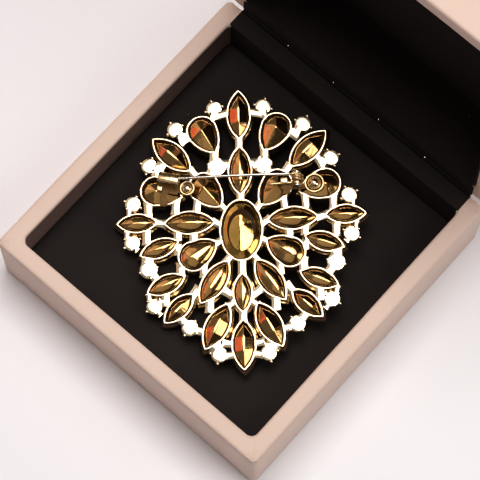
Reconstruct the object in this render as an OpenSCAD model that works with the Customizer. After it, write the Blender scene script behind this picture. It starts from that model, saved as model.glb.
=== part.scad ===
// Flower brooch, seen from its back, lying face down in an open hinged jewellery box.
// Millimetres. The origin is the centre of the tray's underside, +Z is up,
// and the lid's hinge runs along X at the +Y side.

/* [Box] */
// Width of the tray and the lid along the hinge
box_w = 90; // [86:1:110]
// Depth of the tray and the lid, front to hinge
box_d = 92; // [88:1:112]
// Height of the tray
tray_h = 22.5; // [20:0.5:30]
// Thickness of the walls, which is the width of the rims
wall_t = 4.8; // [3:0.2:6]
// Thickness of the tray's floor and the lid's top
floor_t = 3; // [2:0.5:4]
// Height of the lid
lid_h = 22; // [21:1:40]
// Depth of the pad's face below the tray's rim
pad_drop = 11; // [9:0.5:11]

/* [Brooch] */
// Thickness of the openwork at the back: rims, bars and closed backs of the cups
back_t = 1.15; // [1:0.05:1.2]
// Thickness of the whole casting at the petals
casting_t = 2.95; // [2.8:0.05:3.1]
// Width of the polished rim around each opening
rim_w = 0.63; // [0.5:0.01:0.8]
// Thickness of the bezel wall around each stone, on the front half
bezel_w = 0.45; // [0.3:0.05:0.5]
// Play around each stone in its cell
stone_gap = 0.05; // [0.03:0.01:0.08]
// Turn of the brooch in the box
brooch_turn = 42.6; // [30:0.1:60]
// Lean of the brooch, propped on its proud centre stone
lean = 6.1; // [5:0.1:6.5]
// Direction in which the brooch rises, in its own frame
lean_toward = 26.5; // [20:0.5:32]
// Height of the middle of the brooch's back above the pad
seat_h = 7.07; // [7:0.01:8]

/* [Pin] */
// Diameter of the steel pin and of the spring wire
wire_d = 0.8; // [0.6:0.05:0.85]
// Diameter of the coil, from wire middle to wire middle
coil_d = 2.4; // [2.3:0.05:2.5]
// Height of the strips of the findings above the casting's back
strip_h = 0.7; // [0.65:0.05:0.8]
// Thickness of the sheet of the findings
sheet_t = 0.6; // [0.5:0.05:0.65]

/* [Hidden] */
// Sides of a full circle: common rounds, small rounds, the prongs, and the long arcs of the cells
$fn = 72;
small_fn = 32;
prong_fn = 24;
arc_fn = 160;

// Play between pieces that touch on the real thing
seat_gap = 0.05;
// How far pieces of one solid run into each other, and how far a cut runs past a face
join = 0.1;
past = 1;

// Half length and half width of the two navette sizes: the opening in the back, then the stone
LARGE = [6.29, 2.75, 7.5, 3.5];
SMALL = [4.9, 2.18, 6, 3];
// Radius of the round end and distance to the tip of a pear: the opening, then the stone
PEAR = [3.65, 6.81, 4.1, 7.8];
// A pear's sides are arcs that are this much narrower than its round end
pear_waist = 0.15;
// Half axes of the centre oval: the opening, then the stone
OVAL = [5.25, 8, 6, 8.5];
oval_wall_h = -3.9;
oval_points = 48;
// Index of an opening's sizes and of a stone's sizes in the four lists above
OPENING = 0;
STONE = 2;

// Columns of the petal tables
NAME = 0;
U = 1;
V = 2;
TURN = 3;
KEEL_H = 4;

// Large navettes on the axis of the brooch
LARGE_AXIS = [
    ["top_navette", 0, 31.9, 90],
    ["upper_navette", 0, 16.4, 90],
    ["bottom_navette", 0, -31, 90]
];
// Small navette on the axis
SMALL_AXIS = [["short_navette", 0, -17.1, 90]];
// Large navettes of the right half, repeated as mirror images on the left
LARGE_PAIRS = [
    ["shoulder_navette", 18.2, 21.6, 43],
    ["inner_navette", 13.7, 2.6, 1],
    ["lower_navette", 7.4, -13.8, -56],
    ["foot_navette", 7, -25.9, -62]
];
// Small navettes of the right half
SMALL_PAIRS = [
    ["side_navette", 27.7, 3.1, 0],
    ["waist_navette", 21.9, -4.1, -19],
    ["hip_navette", 20.2, -14, -23],
    ["corner_navette", 16.9, -20.6, -44]
];
// Pears of the right half: middle of the round end, the direction of the tip, and the keel's height,
// which is lower under the findings
PEAR_PAIRS = [
    ["crest_pear", 10, 27.9, -120, 0.6],
    ["flank_pear", 22.6, 11.8, -164, 0.1],
    ["heart_pear", 9.8, 12.2, -130, 0.1],
    ["lower_pear", 12.8, -6.6, 149, 0.6]
];

// Small cups of the right half: place, turn of the four prongs, radius of the closed back
CUP_RADIUS = 4;
CUPS = [
    ["crown", 6.6, 33.9, 73, 2],
    ["crest", 17.2, 28.6, 60, 2],
    ["shoulder", 24.3, 18.8, 21, 2],
    ["upper_side", 28.8, 8.4, 25, 2],
    ["lower_side", 29.1, -2.3, 61, 2],
    ["waist", 24.8, -9.8, 73, 2.3],
    ["hip", 23.4, -19.8, 58, 2],
    ["corner", 14.1, -26, 38, 2.1],
    ["foot", 6.5, -33.5, 13, 2],
    ["inner", 6.2, 17.7, 20, 2.4]
];
prong_r = 0.37;
prong_reach = 2.32;
prong_neck = 0.6;
// The round stones in the cups: sides of the girdle and of the table, then sizes
round_sides = 16;
round_table_sides = 8;
round_stone_r = 1.88;
round_girdle_h = -2.3;
round_girdle_t = 0.15;
round_table_h = -3.1;
round_table_r = 1.1;
round_culet_h = -1.25;

// Bars on the axis and bars of the right half: two ends, then the width
U1 = 0;
V1 = 1;
U2 = 2;
V2 = 3;
BAR_W = 4;
AXIS_BARS = [
    [0, 27, 0, 21.5, 1.9],
    [0, 10.8, 0, 7.6, 1.9],
    [0, -7.6, 0, -12.8, 1.95],
    [0, -21.4, 0, -25.3, 1.9]
];
SIDE_BARS = [
    [1.9, 32.8, 7.6, 31.5, 1.95],
    [13, 26.9, 16, 25, 2.4],
    [17.2, 28.6, 14.8, 26.2, 1.9],
    [20.7, 19.4, 22.6, 15.6, 2.15],
    [24.3, 18.8, 21.9, 17.7, 1.8],
    [24.7, 8.8, 24.7, 4.6, 2],
    [29.8, 7.3, 29.9, 4.6, 1],
    [30.4, 0.9, 30.5, -1.2, 1],
    [27.6, -4.4, 28.6, -3.4, 1],
    [25.2, 1, 25.2, -3, 2],
    [23.2, 3.2, 20, 2.5, 1.6],
    [17.1, 9.4, 17.5, 5, 1.9],
    [11.3, 9.2, 11.9, 5, 1.8],
    [12.7, 0.6, 12.7, -3, 2],
    [16.9, 0.8, 16.9, -2.2, 1.9],
    [17, -3.2, 17, -6.2, 1.6],
    [25, -5, 25, -8.6, 2.9],
    [24.3, -10.4, 22.4, -13, 2.2],
    [16.2, -8.2, 16.3, -12, 2.1],
    [10.1, -8.8, 10.2, -12.6, 1.75],
    [20.3, -15.6, 20.4, -20, 2],
    [24.9, -16.4, 24.6, -18.4, 1],
    [21.5, -18.2, 22.6, -19, 1],
    [21.6, -22.3, 22.6, -21.2, 1],
    [11.4, -15, 14.2, -18.5, 2.1],
    [8.7, -18, 8.8, -22.2, 2.1],
    [15, -25, 17, -23, 2],
    [13.4, -26.5, 9.6, -27.4, 2],
    [5.3, -16, 1.6, -18.6, 2.1],
    [1.6, -19.4, 4.2, -20.6, 1.6],
    [5.6, -30.4, 2.2, -30.9, 1.9],
    [6.5, -33.5, 7.9, -30.4, 3.2],
    [5, -33.9, 2, -33.6, 1.8],
    [5.8, 7.8, 3.4, 4.8, 1.7],
    [7.8, 2.9, 5.2, 1.4, 1.8],
    [7.4, -3.6, 4.5, -2.3, 1.8],
    [2.4, -6.1, 4.4, -8.8, 1.7],
    [6.8, 19, 6.7, 23.4, 2.2],
    [5, 18.1, 1.8, 18.2, 2.6],
    [7.2, 16.7, 8.7, 14.8, 2.4],
    [13.5, 17.6, 11.5, 15, 1.9]
];

// Thickness of the flange that each large stone rests on
flange_t = 0.4;

// Heights of a large stone's parts above the casting's back. Its shoulder lies just below the flange,
// inside the opening. It stands straight from there to its edge, and then rises to its keel, which is
// level in the middle and sinks toward the tips.
large_keel_h = 0.6;
small_keel_h = 0.3;
stone_edge_h = -0.6;
stone_shoulder_h = -back_t - flange_t - seat_gap;
opening_play = 0.08;
keel_reach = 0.96;
keel_level = 0.3;
keel_fall = 0.9;
pear_centre = 1;
stone_girdle_h = -2.1;
stone_girdle_t = 0.3;
stone_table_h = -4.2;
table_scale = 0.58;
side_points = 12;
// The centre stone's dome, crown and table
oval_apex_h = 0.5;
oval_edge_h = -0.9;
oval_girdle_h = -3.4;
oval_crown_h = -4.6;
oval_crown_scale = 0.82;
oval_table_h = -6.45;
oval_table_scale = 0.56;
oval_rings = 5;
oval_sweep = 82;
oval_sides = 32;

// The catch lies on the left, turned a little; its ring pad is its reference point
catch_u = -14;
catch_v = 11.7;
catch_turn = -12.5;
catch_pad_r = 2;
catch_well_r = 1.35;
hook_near = -2.3;
hook_far = -7.8;
hook_mid_y = 0.8;
hook_mid_h = 2.8;
hook_r = 2.1;
hook_bore_r = 1.5;
hook_lip_angle = 125;
hook_front_y = -2.2;
hook_steps = 18;
catch_neck_y = -1.4;
catch_neck_w = 2.6;
catch_neck_l = 1.4;
end_tab_w = 1.3;
end_tab_t = 1.1;
end_tab_in = 0.2;
end_tab_top = 2.4;
catch_foot_u = -20.3;
catch_foot_v = 7.85;
foot_w = 2.1;
foot_l = 3.6;
foot_over = 0.6;

// The pin's hinge lies on the right
hinge_u = 19.8;
hinge_v = 11.5;
hinge_pad_r = 2.6;
hinge_well_r = 1.5;
coil_u = 15.4;
coil_h = 2.9;
coil_turns_v = [12, 12.75, 13.5];
wire_ease = 0.03;
wire_thin = 0.01;
strip_front_v = 10.2;
strip_back_v = 11.45;
strip_end_u = 11;
strip_into_pad = 0.8;
ear_t = 0.55;
ear_r = 1.5;
axle_r = 0.7;
axle_head_r = 1.1;
axle_head_t = 0.45;
tail_end = [7.3, 11.55, 1.78];
clip_w = 1.7;
clip_top_h = 2.8;
clip_front_v = 10.7;
clip_back_v = 12.95;
clip_fold_t = 0.5;
clip_top_t = 0.55;
clip_mouth = 0.95;
bracket_foot_u = 12.4;
bracket_foot_v = 9.6;
bracket_foot_w = 1.9;

// Raised edge of the ring pads and the rivets in them
pad_edge_t = 0.4;
rivet_r = 0.6;
rivet_foot_r = 1;
rivet_foot_h = 0.2;
rivet_head_play = 0.12;
rivet_dome_drop = 0.9;

// The pin turns about a point at its coil end
pin_pivot = [13.5, 13.5, 4.07];
pin_tip = [-20.3, 13.8, 3.25];
pin_point_len = 3.2;
pin_point_r = 0.07;

// Cast posts that carry the findings: place, then radius
POST_R = 2;
POSTS = [
    [-13.65, 13.16, 0.42],
    [catch_foot_u, catch_foot_v, 0.7],
    [bracket_foot_u, bracket_foot_v, 0.65],
    [18.2, 13.1, 0.6]
];

// Lid hinge: its axis lies just above and behind the tray's back edge
hinge_y = box_d / 2 + 0.3;
hinge_z = tray_h + 0.15;
lid_gap = 0.3;
knuckle_r = 0.85;
knuckle_bore_r = 0.52;
knuckle_relief_r = 1.05;
hinge_pin_r = 0.45;
knuckle_count = 5;
knuckle_span = 80;
knuckle_play = 0.3;
lining_t = 0.6;
lining_step = 0.5;
lining_short = 1.2;

// Colours seen in the photo
GOLD = "#e3c184";
AMBER = "#b98a3a";
STEEL = "#d9d4cf";
COVER = "#c4aca0";
VELVET = "#1d1a1a";
CRYSTAL = "#efe6d6";

// The brooch's own frame: u to the right, v to its top, height above its flat back
module on_brooch() {
    translate([0, 0, tray_h - pad_drop + seat_h])
        rotate([0, 0, brooch_turn])
            rotate(a = lean, v = [sin(lean_toward), -cos(lean_toward), 0])
                children();
}

module both_halves() {
    children();
    mirror([1, 0, 0]) children();
}

// A flat shape raised between two heights
module slab(low, high) {
    translate([0, 0, low]) linear_extrude(high - low) children();
}

module at(row) {
    translate([row[U], row[V]]) rotate(row[TURN]) children();
}

// Pointed boat shape with its length along X, grown outward by grow
function vesica_r(half_l, half_w) = (half_l * half_l + half_w * half_w) / (2 * half_w);

module vesica(half_l, half_w, grow = 0) {
    arc_r = vesica_r(half_l, half_w);
    intersection() {
        translate([0, half_w - arc_r]) circle(arc_r + grow, $fn = arc_fn);
        translate([0, arc_r - half_w]) circle(arc_r + grow, $fn = arc_fn);
    }
}

// Pear with its round end at the origin and its tip on +X
module pear(end_r, tip, grow = 0) {
    circle(end_r + grow);
    intersection() {
        vesica(tip, end_r - pear_waist, grow);
        translate([0, -2 * end_r]) square([2 * tip, 4 * end_r]);
    }
}

function ellipse(half_u, half_v, count) =
    [for (i = [0:count - 1]) [half_u * cos(360 * i / count), half_v * sin(360 * i / count)]];

module oval(half_u, half_v) {
    polygon(ellipse(half_u, half_v, oval_points));
}

// The cells as flat shapes, where what is OPENING or STONE
module axis_cells(what, grow) {
    for (row = LARGE_AXIS) at(row) vesica(LARGE[what], LARGE[what + 1], grow);
    for (row = SMALL_AXIS) at(row) vesica(SMALL[what], SMALL[what + 1], grow);
    oval(OVAL[what] + grow, OVAL[what + 1] + grow);
}

module paired_cells(what, grow) {
    for (row = LARGE_PAIRS) at(row) vesica(LARGE[what], LARGE[what + 1], grow);
    for (row = SMALL_PAIRS) at(row) vesica(SMALL[what], SMALL[what + 1], grow);
    for (row = PEAR_PAIRS) at(row) pear(PEAR[what], PEAR[what + 1], grow);
}

module cells(what, grow = 0) {
    axis_cells(what, grow);
    both_halves() paired_cells(what, grow);
}

module bar(row) {
    run = [row[U2] - row[U1], row[V2] - row[V1]];
    translate([row[U1], row[V1]])
        rotate(atan2(run[1], run[0]))
            translate([0, -row[BAR_W] / 2])
                square([norm(run), row[BAR_W]]);
}

module cup_backs() {
    for (row = CUPS) translate([row[U], row[V]]) circle(row[CUP_RADIUS]);
}

module prongs() {
    for (row = CUPS) at(row)
        for (k = [0:3]) rotate(90 * k) translate([prong_reach, 0]) circle(prong_r, $fn = prong_fn);
}

module prong_necks() {
    for (row = CUPS) at(row)
        for (k = [0:1]) rotate(90 * k) square([2 * prong_reach, prong_neck], center = true);
}

// Everything that shows from the back: rims, bars, closed cup backs and prongs
module back_outline() {
    cells(OPENING, rim_w);
    for (row = AXIS_BARS) bar(row);
    post_outline();
    both_halves() {
        for (row = SIDE_BARS) bar(row);
        cup_backs();
        prong_necks();
        prongs();
    }
}

// Bezels around the stones and the prongs, on the front half
module front_outline() {
    cells(STONE, bezel_w);
    both_halves() prongs();
}

module seats() {
    cells(STONE, stone_gap);
    both_halves()
        for (row = CUPS) translate([row[U], row[V]]) circle(round_stone_r + stone_gap);
}

module post_outline() {
    for (row = POSTS) translate([row[U1], row[V1]]) circle(row[POST_R], $fn = small_fn);
}

// The casting in layers, from its posts at the back to the wall of the centre stone
module casting() {
    flange_h = -back_t - flange_t;
    color(GOLD) on_brooch() {
        slab(0, strip_h - seat_gap) post_outline();
        slab(-back_t, 0) difference() {
            back_outline();
            cells(OPENING);
        }
        slab(flange_h, -back_t) difference() {
            front_outline();
            cells(OPENING);
        }
        slab(-casting_t, flange_h) difference() {
            front_outline();
            seats();
        }
        slab(oval_wall_h, -casting_t) difference() {
            oval(OVAL[STONE] + bezel_w, OVAL[STONE + 1] + bezel_w);
            oval(OVAL[STONE] + stone_gap, OVAL[STONE + 1] + stone_gap);
        }
    }
}

// Outline of a navette stone: tip, upper side, far tip, lower side
function navette_outline(half_l, half_w) =
    let (arc_r = vesica_r(half_l, half_w), reach = asin(half_l / arc_r))
    concat(
        [for (i = [0:side_points - 1])
            let (a = reach * (1 - 2 * i / side_points))
            [arc_r * sin(a), arc_r * cos(a) - arc_r + half_w]],
        [for (i = [0:side_points - 1])
            let (a = reach * (1 - 2 * i / side_points))
            [-arc_r * sin(a), -arc_r * cos(a) + arc_r - half_w]]
    );

// Outline of a pear stone, from its tip round its end; half of the points lie on the end
function pear_half(end_r, tip) =
    let (n = side_points / 2, side_w = end_r - pear_waist, arc_r = vesica_r(tip, side_w))
    concat(
        [for (i = [0:n - 1])
            let (x = tip * (1 - i / n))
            [x, max(sqrt(arc_r * arc_r - x * x) - arc_r + side_w,
                sqrt(max(0, end_r * end_r - x * x)))]],
        [for (i = [0:n - 1]) [end_r * cos(90 + 90 * i / n), end_r * sin(90 + 90 * i / n)]]
    );

function pear_outline(end_r, tip) =
    let (half = pear_half(end_r, tip), n = side_points)
    concat(half, [[-end_r, 0]], [for (i = [1:n - 1]) [half[n - i][0], -half[n - i][1]]]);

function lift(points, height, scale_by = 1, about = 0) =
    [for (p = points) [about + (p[0] - about) * scale_by, p[1] * scale_by, height]];

// Place on the keel that belongs to an outline point, as an index into the keel's points
function keel_at(i, n, last) = min(min(i, 2 * n - i), last);

// Points of a keel whose full length would have the given steps, from its tip on
function keel_points(reach, high, count, steps) =
    [for (i = [0:count])
        let (t = 1 - 2 * i / steps, sink = max(0, (abs(t) - keel_level) / (1 - keel_level)))
        [reach * t, 0, high - (high - stone_edge_h) * keel_fall * sink]];

// A cut stone, table down: a keel, a straight side inside the opening, a girdle, a crown and a table
module keeled_stone(outline, shoulder, keel, about) {
    n = side_points;
    m = 2 * n;
    last = len(keel) - 1;
    points = concat(
        lift(outline, stone_girdle_h),
        lift(outline, stone_girdle_h - stone_girdle_t),
        lift(outline, stone_table_h, table_scale, about),
        lift(shoulder, stone_shoulder_h),
        lift(shoulder, stone_edge_h),
        keel
    );
    faces = concat(
        [for (i = [0:m - 1]) [4 * m + i, 5 * m + keel_at(i + 1, n, last), 4 * m + (i + 1) % m]],
        [for (i = [0:m - 1])
            if (keel_at(i, n, last) != keel_at(i + 1, n, last))
                [4 * m + i, 5 * m + keel_at(i, n, last), 5 * m + keel_at(i + 1, n, last)]],
        [for (i = [0:m - 1]) [3 * m + i, 4 * m + i, 4 * m + (i + 1) % m, 3 * m + (i + 1) % m]],
        [for (i = [0:m - 1]) [i, 3 * m + i, 3 * m + (i + 1) % m]],
        [for (i = [0:m - 1]) [i, 3 * m + (i + 1) % m, (i + 1) % m]],
        [for (i = [0:m - 1]) [i, (i + 1) % m, m + (i + 1) % m, m + i]],
        [for (i = [0:m - 1]) [m + i, m + (i + 1) % m, 2 * m + (i + 1) % m, 2 * m + i]],
        [[for (i = [0:m - 1]) 2 * m + i]]
    );
    polyhedron(points, faces);
}

module navette_stone(size, keel_h) {
    n = side_points;
    outline = navette_outline(size[STONE], size[STONE + 1]);
    shoulder = navette_outline(size[OPENING] - opening_play, size[OPENING + 1] - opening_play);
    reach = (size[OPENING] - opening_play) * keel_reach;
    color(AMBER) keeled_stone(outline, shoulder, keel_points(reach, keel_h, n, n), 0);
}

module pear_stone(keel_h) {
    n = side_points;
    outline = pear_outline(PEAR[STONE], PEAR[STONE + 1]);
    shoulder = pear_outline(PEAR[OPENING] - opening_play, PEAR[OPENING + 1] - opening_play);
    reach = (PEAR[OPENING + 1] - opening_play) * keel_reach;
    keel = keel_points(reach, keel_h, n / 2, n);
    color(AMBER) keeled_stone(outline, shoulder, keel, pear_centre);
}

// The centre stone: a smooth dome that fills the opening, a girdle, a crown and a table
module oval_stone() {
    count = oval_sides;
    rim = ellipse(OVAL[STONE], OVAL[STONE + 1], count);
    neck = ellipse(OVAL[OPENING] - opening_play, OVAL[OPENING + 1] - opening_play, count);
    dome_h = oval_apex_h - oval_edge_h;
    points = concat(
        [for (k = [oval_rings:-1:0])
            let (a = oval_sweep * k / oval_rings)
            each lift(neck, oval_edge_h + dome_h * sin(a) / sin(oval_sweep), cos(a))],
        lift(neck, stone_shoulder_h),
        lift(rim, oval_girdle_h),
        lift(rim, oval_girdle_h - stone_girdle_t),
        lift(rim, oval_crown_h, oval_crown_scale),
        lift(rim, oval_table_h, oval_table_scale)
    );
    rings = oval_rings + 6;
    faces = concat(
        [[for (i = [count - 1:-1:0]) i]],
        [for (k = [0:rings - 2]) for (i = [0:count - 1])
            [k * count + i, k * count + (i + 1) % count,
                (k + 1) * count + (i + 1) % count, (k + 1) * count + i]],
        [[for (i = [0:count - 1]) (rings - 1) * count + i]]
    );
    color(AMBER) polyhedron(points, faces);
}

// A round stone: a pointed back, a girdle, a crown of small facets and a table
module round_stone() {
    n = round_sides;
    m = round_table_sides;
    girdle = [for (i = [0:n - 1]) round_stone_r * [cos(360 * i / n), sin(360 * i / n)]];
    table = [for (i = [0:m - 1]) round_table_r * [cos(360 * (i + 0.5) / m), sin(360 * (i + 0.5) / m)]];
    points = concat(
        lift(girdle, round_girdle_h),
        lift(girdle, round_girdle_h - round_girdle_t),
        lift(table, round_table_h),
        [[0, 0, round_culet_h]]
    );
    faces = concat(
        [for (i = [0:n - 1]) [i, 2 * n + m, (i + 1) % n]],
        [for (i = [0:n - 1]) [i, (i + 1) % n, n + (i + 1) % n, n + i]],
        [for (i = [0:m - 1]) [n + 2 * i, n + 2 * i + 1, 2 * n + i]],
        [for (i = [0:m - 1]) [n + 2 * i + 1, n + (2 * i + 2) % n, 2 * n + i]],
        [for (i = [0:m - 1]) [n + (2 * i + 2) % n, 2 * n + (i + 1) % m, 2 * n + i]],
        [[for (i = [0:m - 1]) 2 * n + i]]
    );
    color(CRYSTAL) polyhedron(points, faces);
}

module round_stones() {
    on_brooch() both_halves()
        for (row = CUPS) translate([row[U], row[V], 0]) rotate(row[TURN]) round_stone();
}

// A disc with a raised edge and a hole for its rivet
module ring_pad(pad_r, well_r) {
    difference() {
        translate([0, 0, strip_h]) cylinder(h = sheet_t + pad_edge_t, r = pad_r);
        translate([0, 0, strip_h + sheet_t]) cylinder(h = pad_edge_t + past, r = well_r);
        translate([0, 0, strip_h - past])
            cylinder(h = sheet_t + 2 * past, r = rivet_r + seat_gap, $fn = small_fn);
    }
}

// Dome-headed rivet with its foot under the pad
module pad_rivet(well_r) {
    head_r = well_r - rivet_head_play;
    head_h = strip_h + sheet_t + seat_gap;
    dome_r = norm([head_r, rivet_dome_drop]);
    translate([0, 0, rivet_foot_h])
        cylinder(h = strip_h - seat_gap - rivet_foot_h, r = rivet_foot_r, $fn = small_fn);
    translate([0, 0, rivet_foot_h])
        cylinder(h = head_h - rivet_foot_h + join, r = rivet_r, $fn = small_fn);
    intersection() {
        translate([0, 0, head_h - rivet_dome_drop]) sphere(dome_r);
        translate([0, 0, head_h]) cylinder(h = dome_r, r = 2 * head_r);
    }
}

module on_catch() {
    on_brooch() translate([catch_u, catch_v, 0]) rotate(catch_turn) children();
}

function arc(radius, from, to, count) =
    [for (i = [0:count])
        let (a = from + (to - from) * i / count)
        [hook_mid_y + radius * cos(a), hook_mid_h + radius * sin(a)]];

// Section of the hook: a flat strip that rolls up and over at the back, open at the front
module hook_section() {
    polygon(concat(
        [[hook_front_y, strip_h + sheet_t], [hook_front_y, strip_h]],
        arc(hook_r, -90, hook_lip_angle, hook_steps),
        arc(hook_bore_r, hook_lip_angle, -90, hook_steps)
    ));
}

module catch() {
    foot = [catch_foot_u - catch_u, catch_foot_v - catch_v];
    color(GOLD) on_catch() {
        ring_pad(catch_pad_r, catch_well_r);
        translate([hook_far, 0, 0]) rotate([90, 0, 90])
            linear_extrude(hook_near - hook_far) hook_section();
        translate([hook_near - join, catch_neck_y, strip_h])
            cube([catch_neck_l, catch_neck_w, sheet_t]);
        translate([hook_far, hook_front_y + end_tab_in, strip_h])
            cube([end_tab_w, end_tab_t, end_tab_top - strip_h]);
        rotate(-catch_turn) translate([foot[0] - foot_w / 2, foot[1] - foot_over, strip_h])
            cube([foot_w, foot_l, sheet_t]);
    }
}

module catch_rivet() {
    color(GOLD) on_catch() pad_rivet(catch_well_r);
}

// Along v, lying on its side: the frame of the coil, its axle and the ear
module on_coil(v) {
    translate([coil_u, v, coil_h]) rotate([-90, 0, 0]) children();
}

// The strip with its ring pad, the ear for the axle, the clip over the spring's tail, and a foot
module hinge_bracket() {
    color(GOLD) on_brooch() difference() {
        union() {
            translate([hinge_u, hinge_v, 0]) ring_pad(hinge_pad_r, hinge_well_r);
            translate([strip_end_u, strip_front_v, strip_h])
                cube([hinge_u - hinge_pad_r + strip_into_pad - strip_end_u,
                    strip_back_v - strip_front_v, sheet_t]);
            on_coil(strip_back_v - ear_t) cylinder(h = ear_t, r = ear_r);
            translate([coil_u - ear_r + join, strip_back_v - ear_t, strip_h])
                cube([2 * (ear_r - join), ear_t, coil_h - strip_h]);
            translate([strip_end_u, clip_front_v, 0])
                rotate([90, 0, 90]) linear_extrude(clip_w) clip_section();
            translate([bracket_foot_u - bracket_foot_w / 2, bracket_foot_v - foot_over, strip_h])
                cube([bracket_foot_w, strip_front_v - bracket_foot_v + foot_over + join, sheet_t]);
        }
        on_coil(strip_back_v - ear_t - past) cylinder(h = ear_t + 2 * past, r = axle_r + seat_gap);
    }
}

// Section of the clip that holds the spring's tail: a strip folded up and back over it
module clip_section() {
    depth = clip_back_v - clip_front_v;
    bed_h = strip_h + sheet_t;
    difference() {
        translate([0, strip_h]) square([depth, clip_top_h - strip_h]);
        translate([-past, bed_h]) square([depth + past - clip_fold_t, clip_top_h - bed_h - clip_top_t]);
        translate([-past, bed_h]) square([past + clip_mouth, clip_top_h]);
    }
}

module hinge_rivet() {
    color(GOLD) on_brooch() translate([hinge_u, hinge_v, 0]) pad_rivet(hinge_well_r);
}

module coil_axle() {
    back_head_v = coil_turns_v[2] + wire_d / 2 + 2 * seat_gap;
    front_head_v = strip_back_v - ear_t - seat_gap - axle_head_t;
    color(STEEL) on_brooch() {
        on_coil(front_head_v) cylinder(h = axle_head_t, r = axle_head_r);
        on_coil(front_head_v) cylinder(h = back_head_v + axle_head_t - front_head_v, r = axle_r);
        on_coil(back_head_v) cylinder(h = axle_head_t, r = axle_head_r);
    }
}

// A round rod between two points
module rod(from, to, radius) {
    run = to - from;
    translate(from)
        rotate([0, acos(run[2] / norm(run)), atan2(run[1], run[0])])
            cylinder(h = norm(run), r = radius, $fn = small_fn);
}

// Three turns of wire, a short run toward the pin and the tail under the clip
module coil_spring() {
    wire_r = wire_d / 2;
    coil_r = coil_d / 2 - wire_ease;
    straight_r = wire_r - wire_thin;
    color(STEEL) on_brooch() {
        on_coil(0) rotate_extrude()
            for (v = coil_turns_v) translate([coil_d / 2, v]) circle(wire_r, $fn = small_fn);
        rod([coil_u, coil_turns_v[2], coil_h + coil_r],
            [pin_pivot[0] + wire_r + seat_gap, pin_pivot[1], pin_pivot[2]], straight_r);
        rod([coil_u, coil_turns_v[0], coil_h - coil_r], tail_end, straight_r);
    }
}

// The stem is turned about its own length: a round end, the shaft and a long point
module pin_stem() {
    run = pin_tip - pin_pivot;
    stem_r = wire_d / 2 - wire_thin;
    shoulder = norm(run) - pin_point_len;
    color(STEEL) on_brooch() translate(pin_pivot)
        rotate([0, acos(run[2] / norm(run)), atan2(run[1], run[0])])
            rotate_extrude($fn = small_fn) polygon(concat(
                [for (a = [-90:15:0]) [stem_r * cos(a), stem_r * sin(a)]],
                [[stem_r, shoulder], [pin_point_r, norm(run)], [0, norm(run)]]
            ));
}

// Knuckles of the lid's hinge along X; first = 0 gives the tray's, first = 1 the lid's
module knuckles(first, radius, play) {
    pitch = knuckle_span / knuckle_count;
    for (k = [first:2:knuckle_count - 1])
        translate([-knuckle_span / 2 + k * pitch + play / 2, hinge_y, hinge_z])
            rotate([0, 90, 0]) cylinder(h = pitch - play, r = radius, $fn = small_fn);
}

module hinge_bore() {
    translate([-knuckle_span / 2 - past, hinge_y, hinge_z])
        rotate([0, 90, 0]) cylinder(h = knuckle_span + 2 * past, r = knuckle_bore_r, $fn = small_fn);
}

module box_tray() {
    color(COVER) difference() {
        union() {
            difference() {
                translate([-box_w / 2, -box_d / 2, 0]) cube([box_w, box_d, tray_h]);
                translate([-box_w / 2 + wall_t, -box_d / 2 + wall_t, floor_t])
                    cube([box_w - 2 * wall_t, box_d - 2 * wall_t, tray_h]);
                translate([-box_w / 2 + wall_t, box_d / 2 - wall_t - past, tray_h - lining_step])
                    cube([box_w - 2 * wall_t, wall_t + 2 * past, tray_h]);
                knuckles(1, knuckle_relief_r, -knuckle_play);
            }
            knuckles(0, knuckle_r, knuckle_play);
        }
        hinge_bore();
    }
}

module tray_pad() {
    pad_w = box_w - 2 * wall_t - 4 * seat_gap;
    pad_d = box_d - 2 * wall_t - 4 * seat_gap - lining_t;
    color(VELVET)
        translate([-pad_w / 2, -box_d / 2 + wall_t + 2 * seat_gap, floor_t + seat_gap])
            cube([pad_w, pad_d, tray_h - pad_drop - floor_t - seat_gap]);
}

// Lining down the tray's back wall and over its rim
module tray_lining() {
    lining_w = box_w - 2 * wall_t - 4 * seat_gap;
    inner_y = box_d / 2 - wall_t;
    low = tray_h - pad_drop;
    over = wall_t - lining_short;
    color(VELVET) translate([-lining_w / 2, inner_y - lining_t, low + seat_gap]) {
        cube([lining_w, lining_t - seat_gap, pad_drop - seat_gap]);
        translate([0, 0, pad_drop - lining_step])
            cube([lining_w, over + lining_t, lining_step - seat_gap]);
    }
}

// The lid is drawn closed, then swung open by 90 degrees about the hinge, as it is at rest
module swung_open() {
    translate([0, hinge_y, hinge_z]) rotate([-90, 0, 0])
        translate([0, -hinge_y, -hinge_z]) children();
}

module box_lid() {
    low = tray_h + lid_gap;
    color(COVER) swung_open() difference() {
        union() {
            difference() {
                translate([-box_w / 2, -box_d / 2, low]) cube([box_w, box_d, lid_h]);
                translate([-box_w / 2 + wall_t, -box_d / 2 + wall_t, low - past])
                    cube([box_w - 2 * wall_t, box_d - 2 * wall_t, lid_h - floor_t + past]);
                translate([-box_w / 2 + wall_t, box_d / 2 - wall_t - past, low - past])
                    cube([box_w - 2 * wall_t, wall_t + 2 * past, lining_step + past]);
                knuckles(0, knuckle_relief_r, -knuckle_play);
            }
            knuckles(1, knuckle_r, knuckle_play);
        }
        hinge_bore();
    }
}

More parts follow.
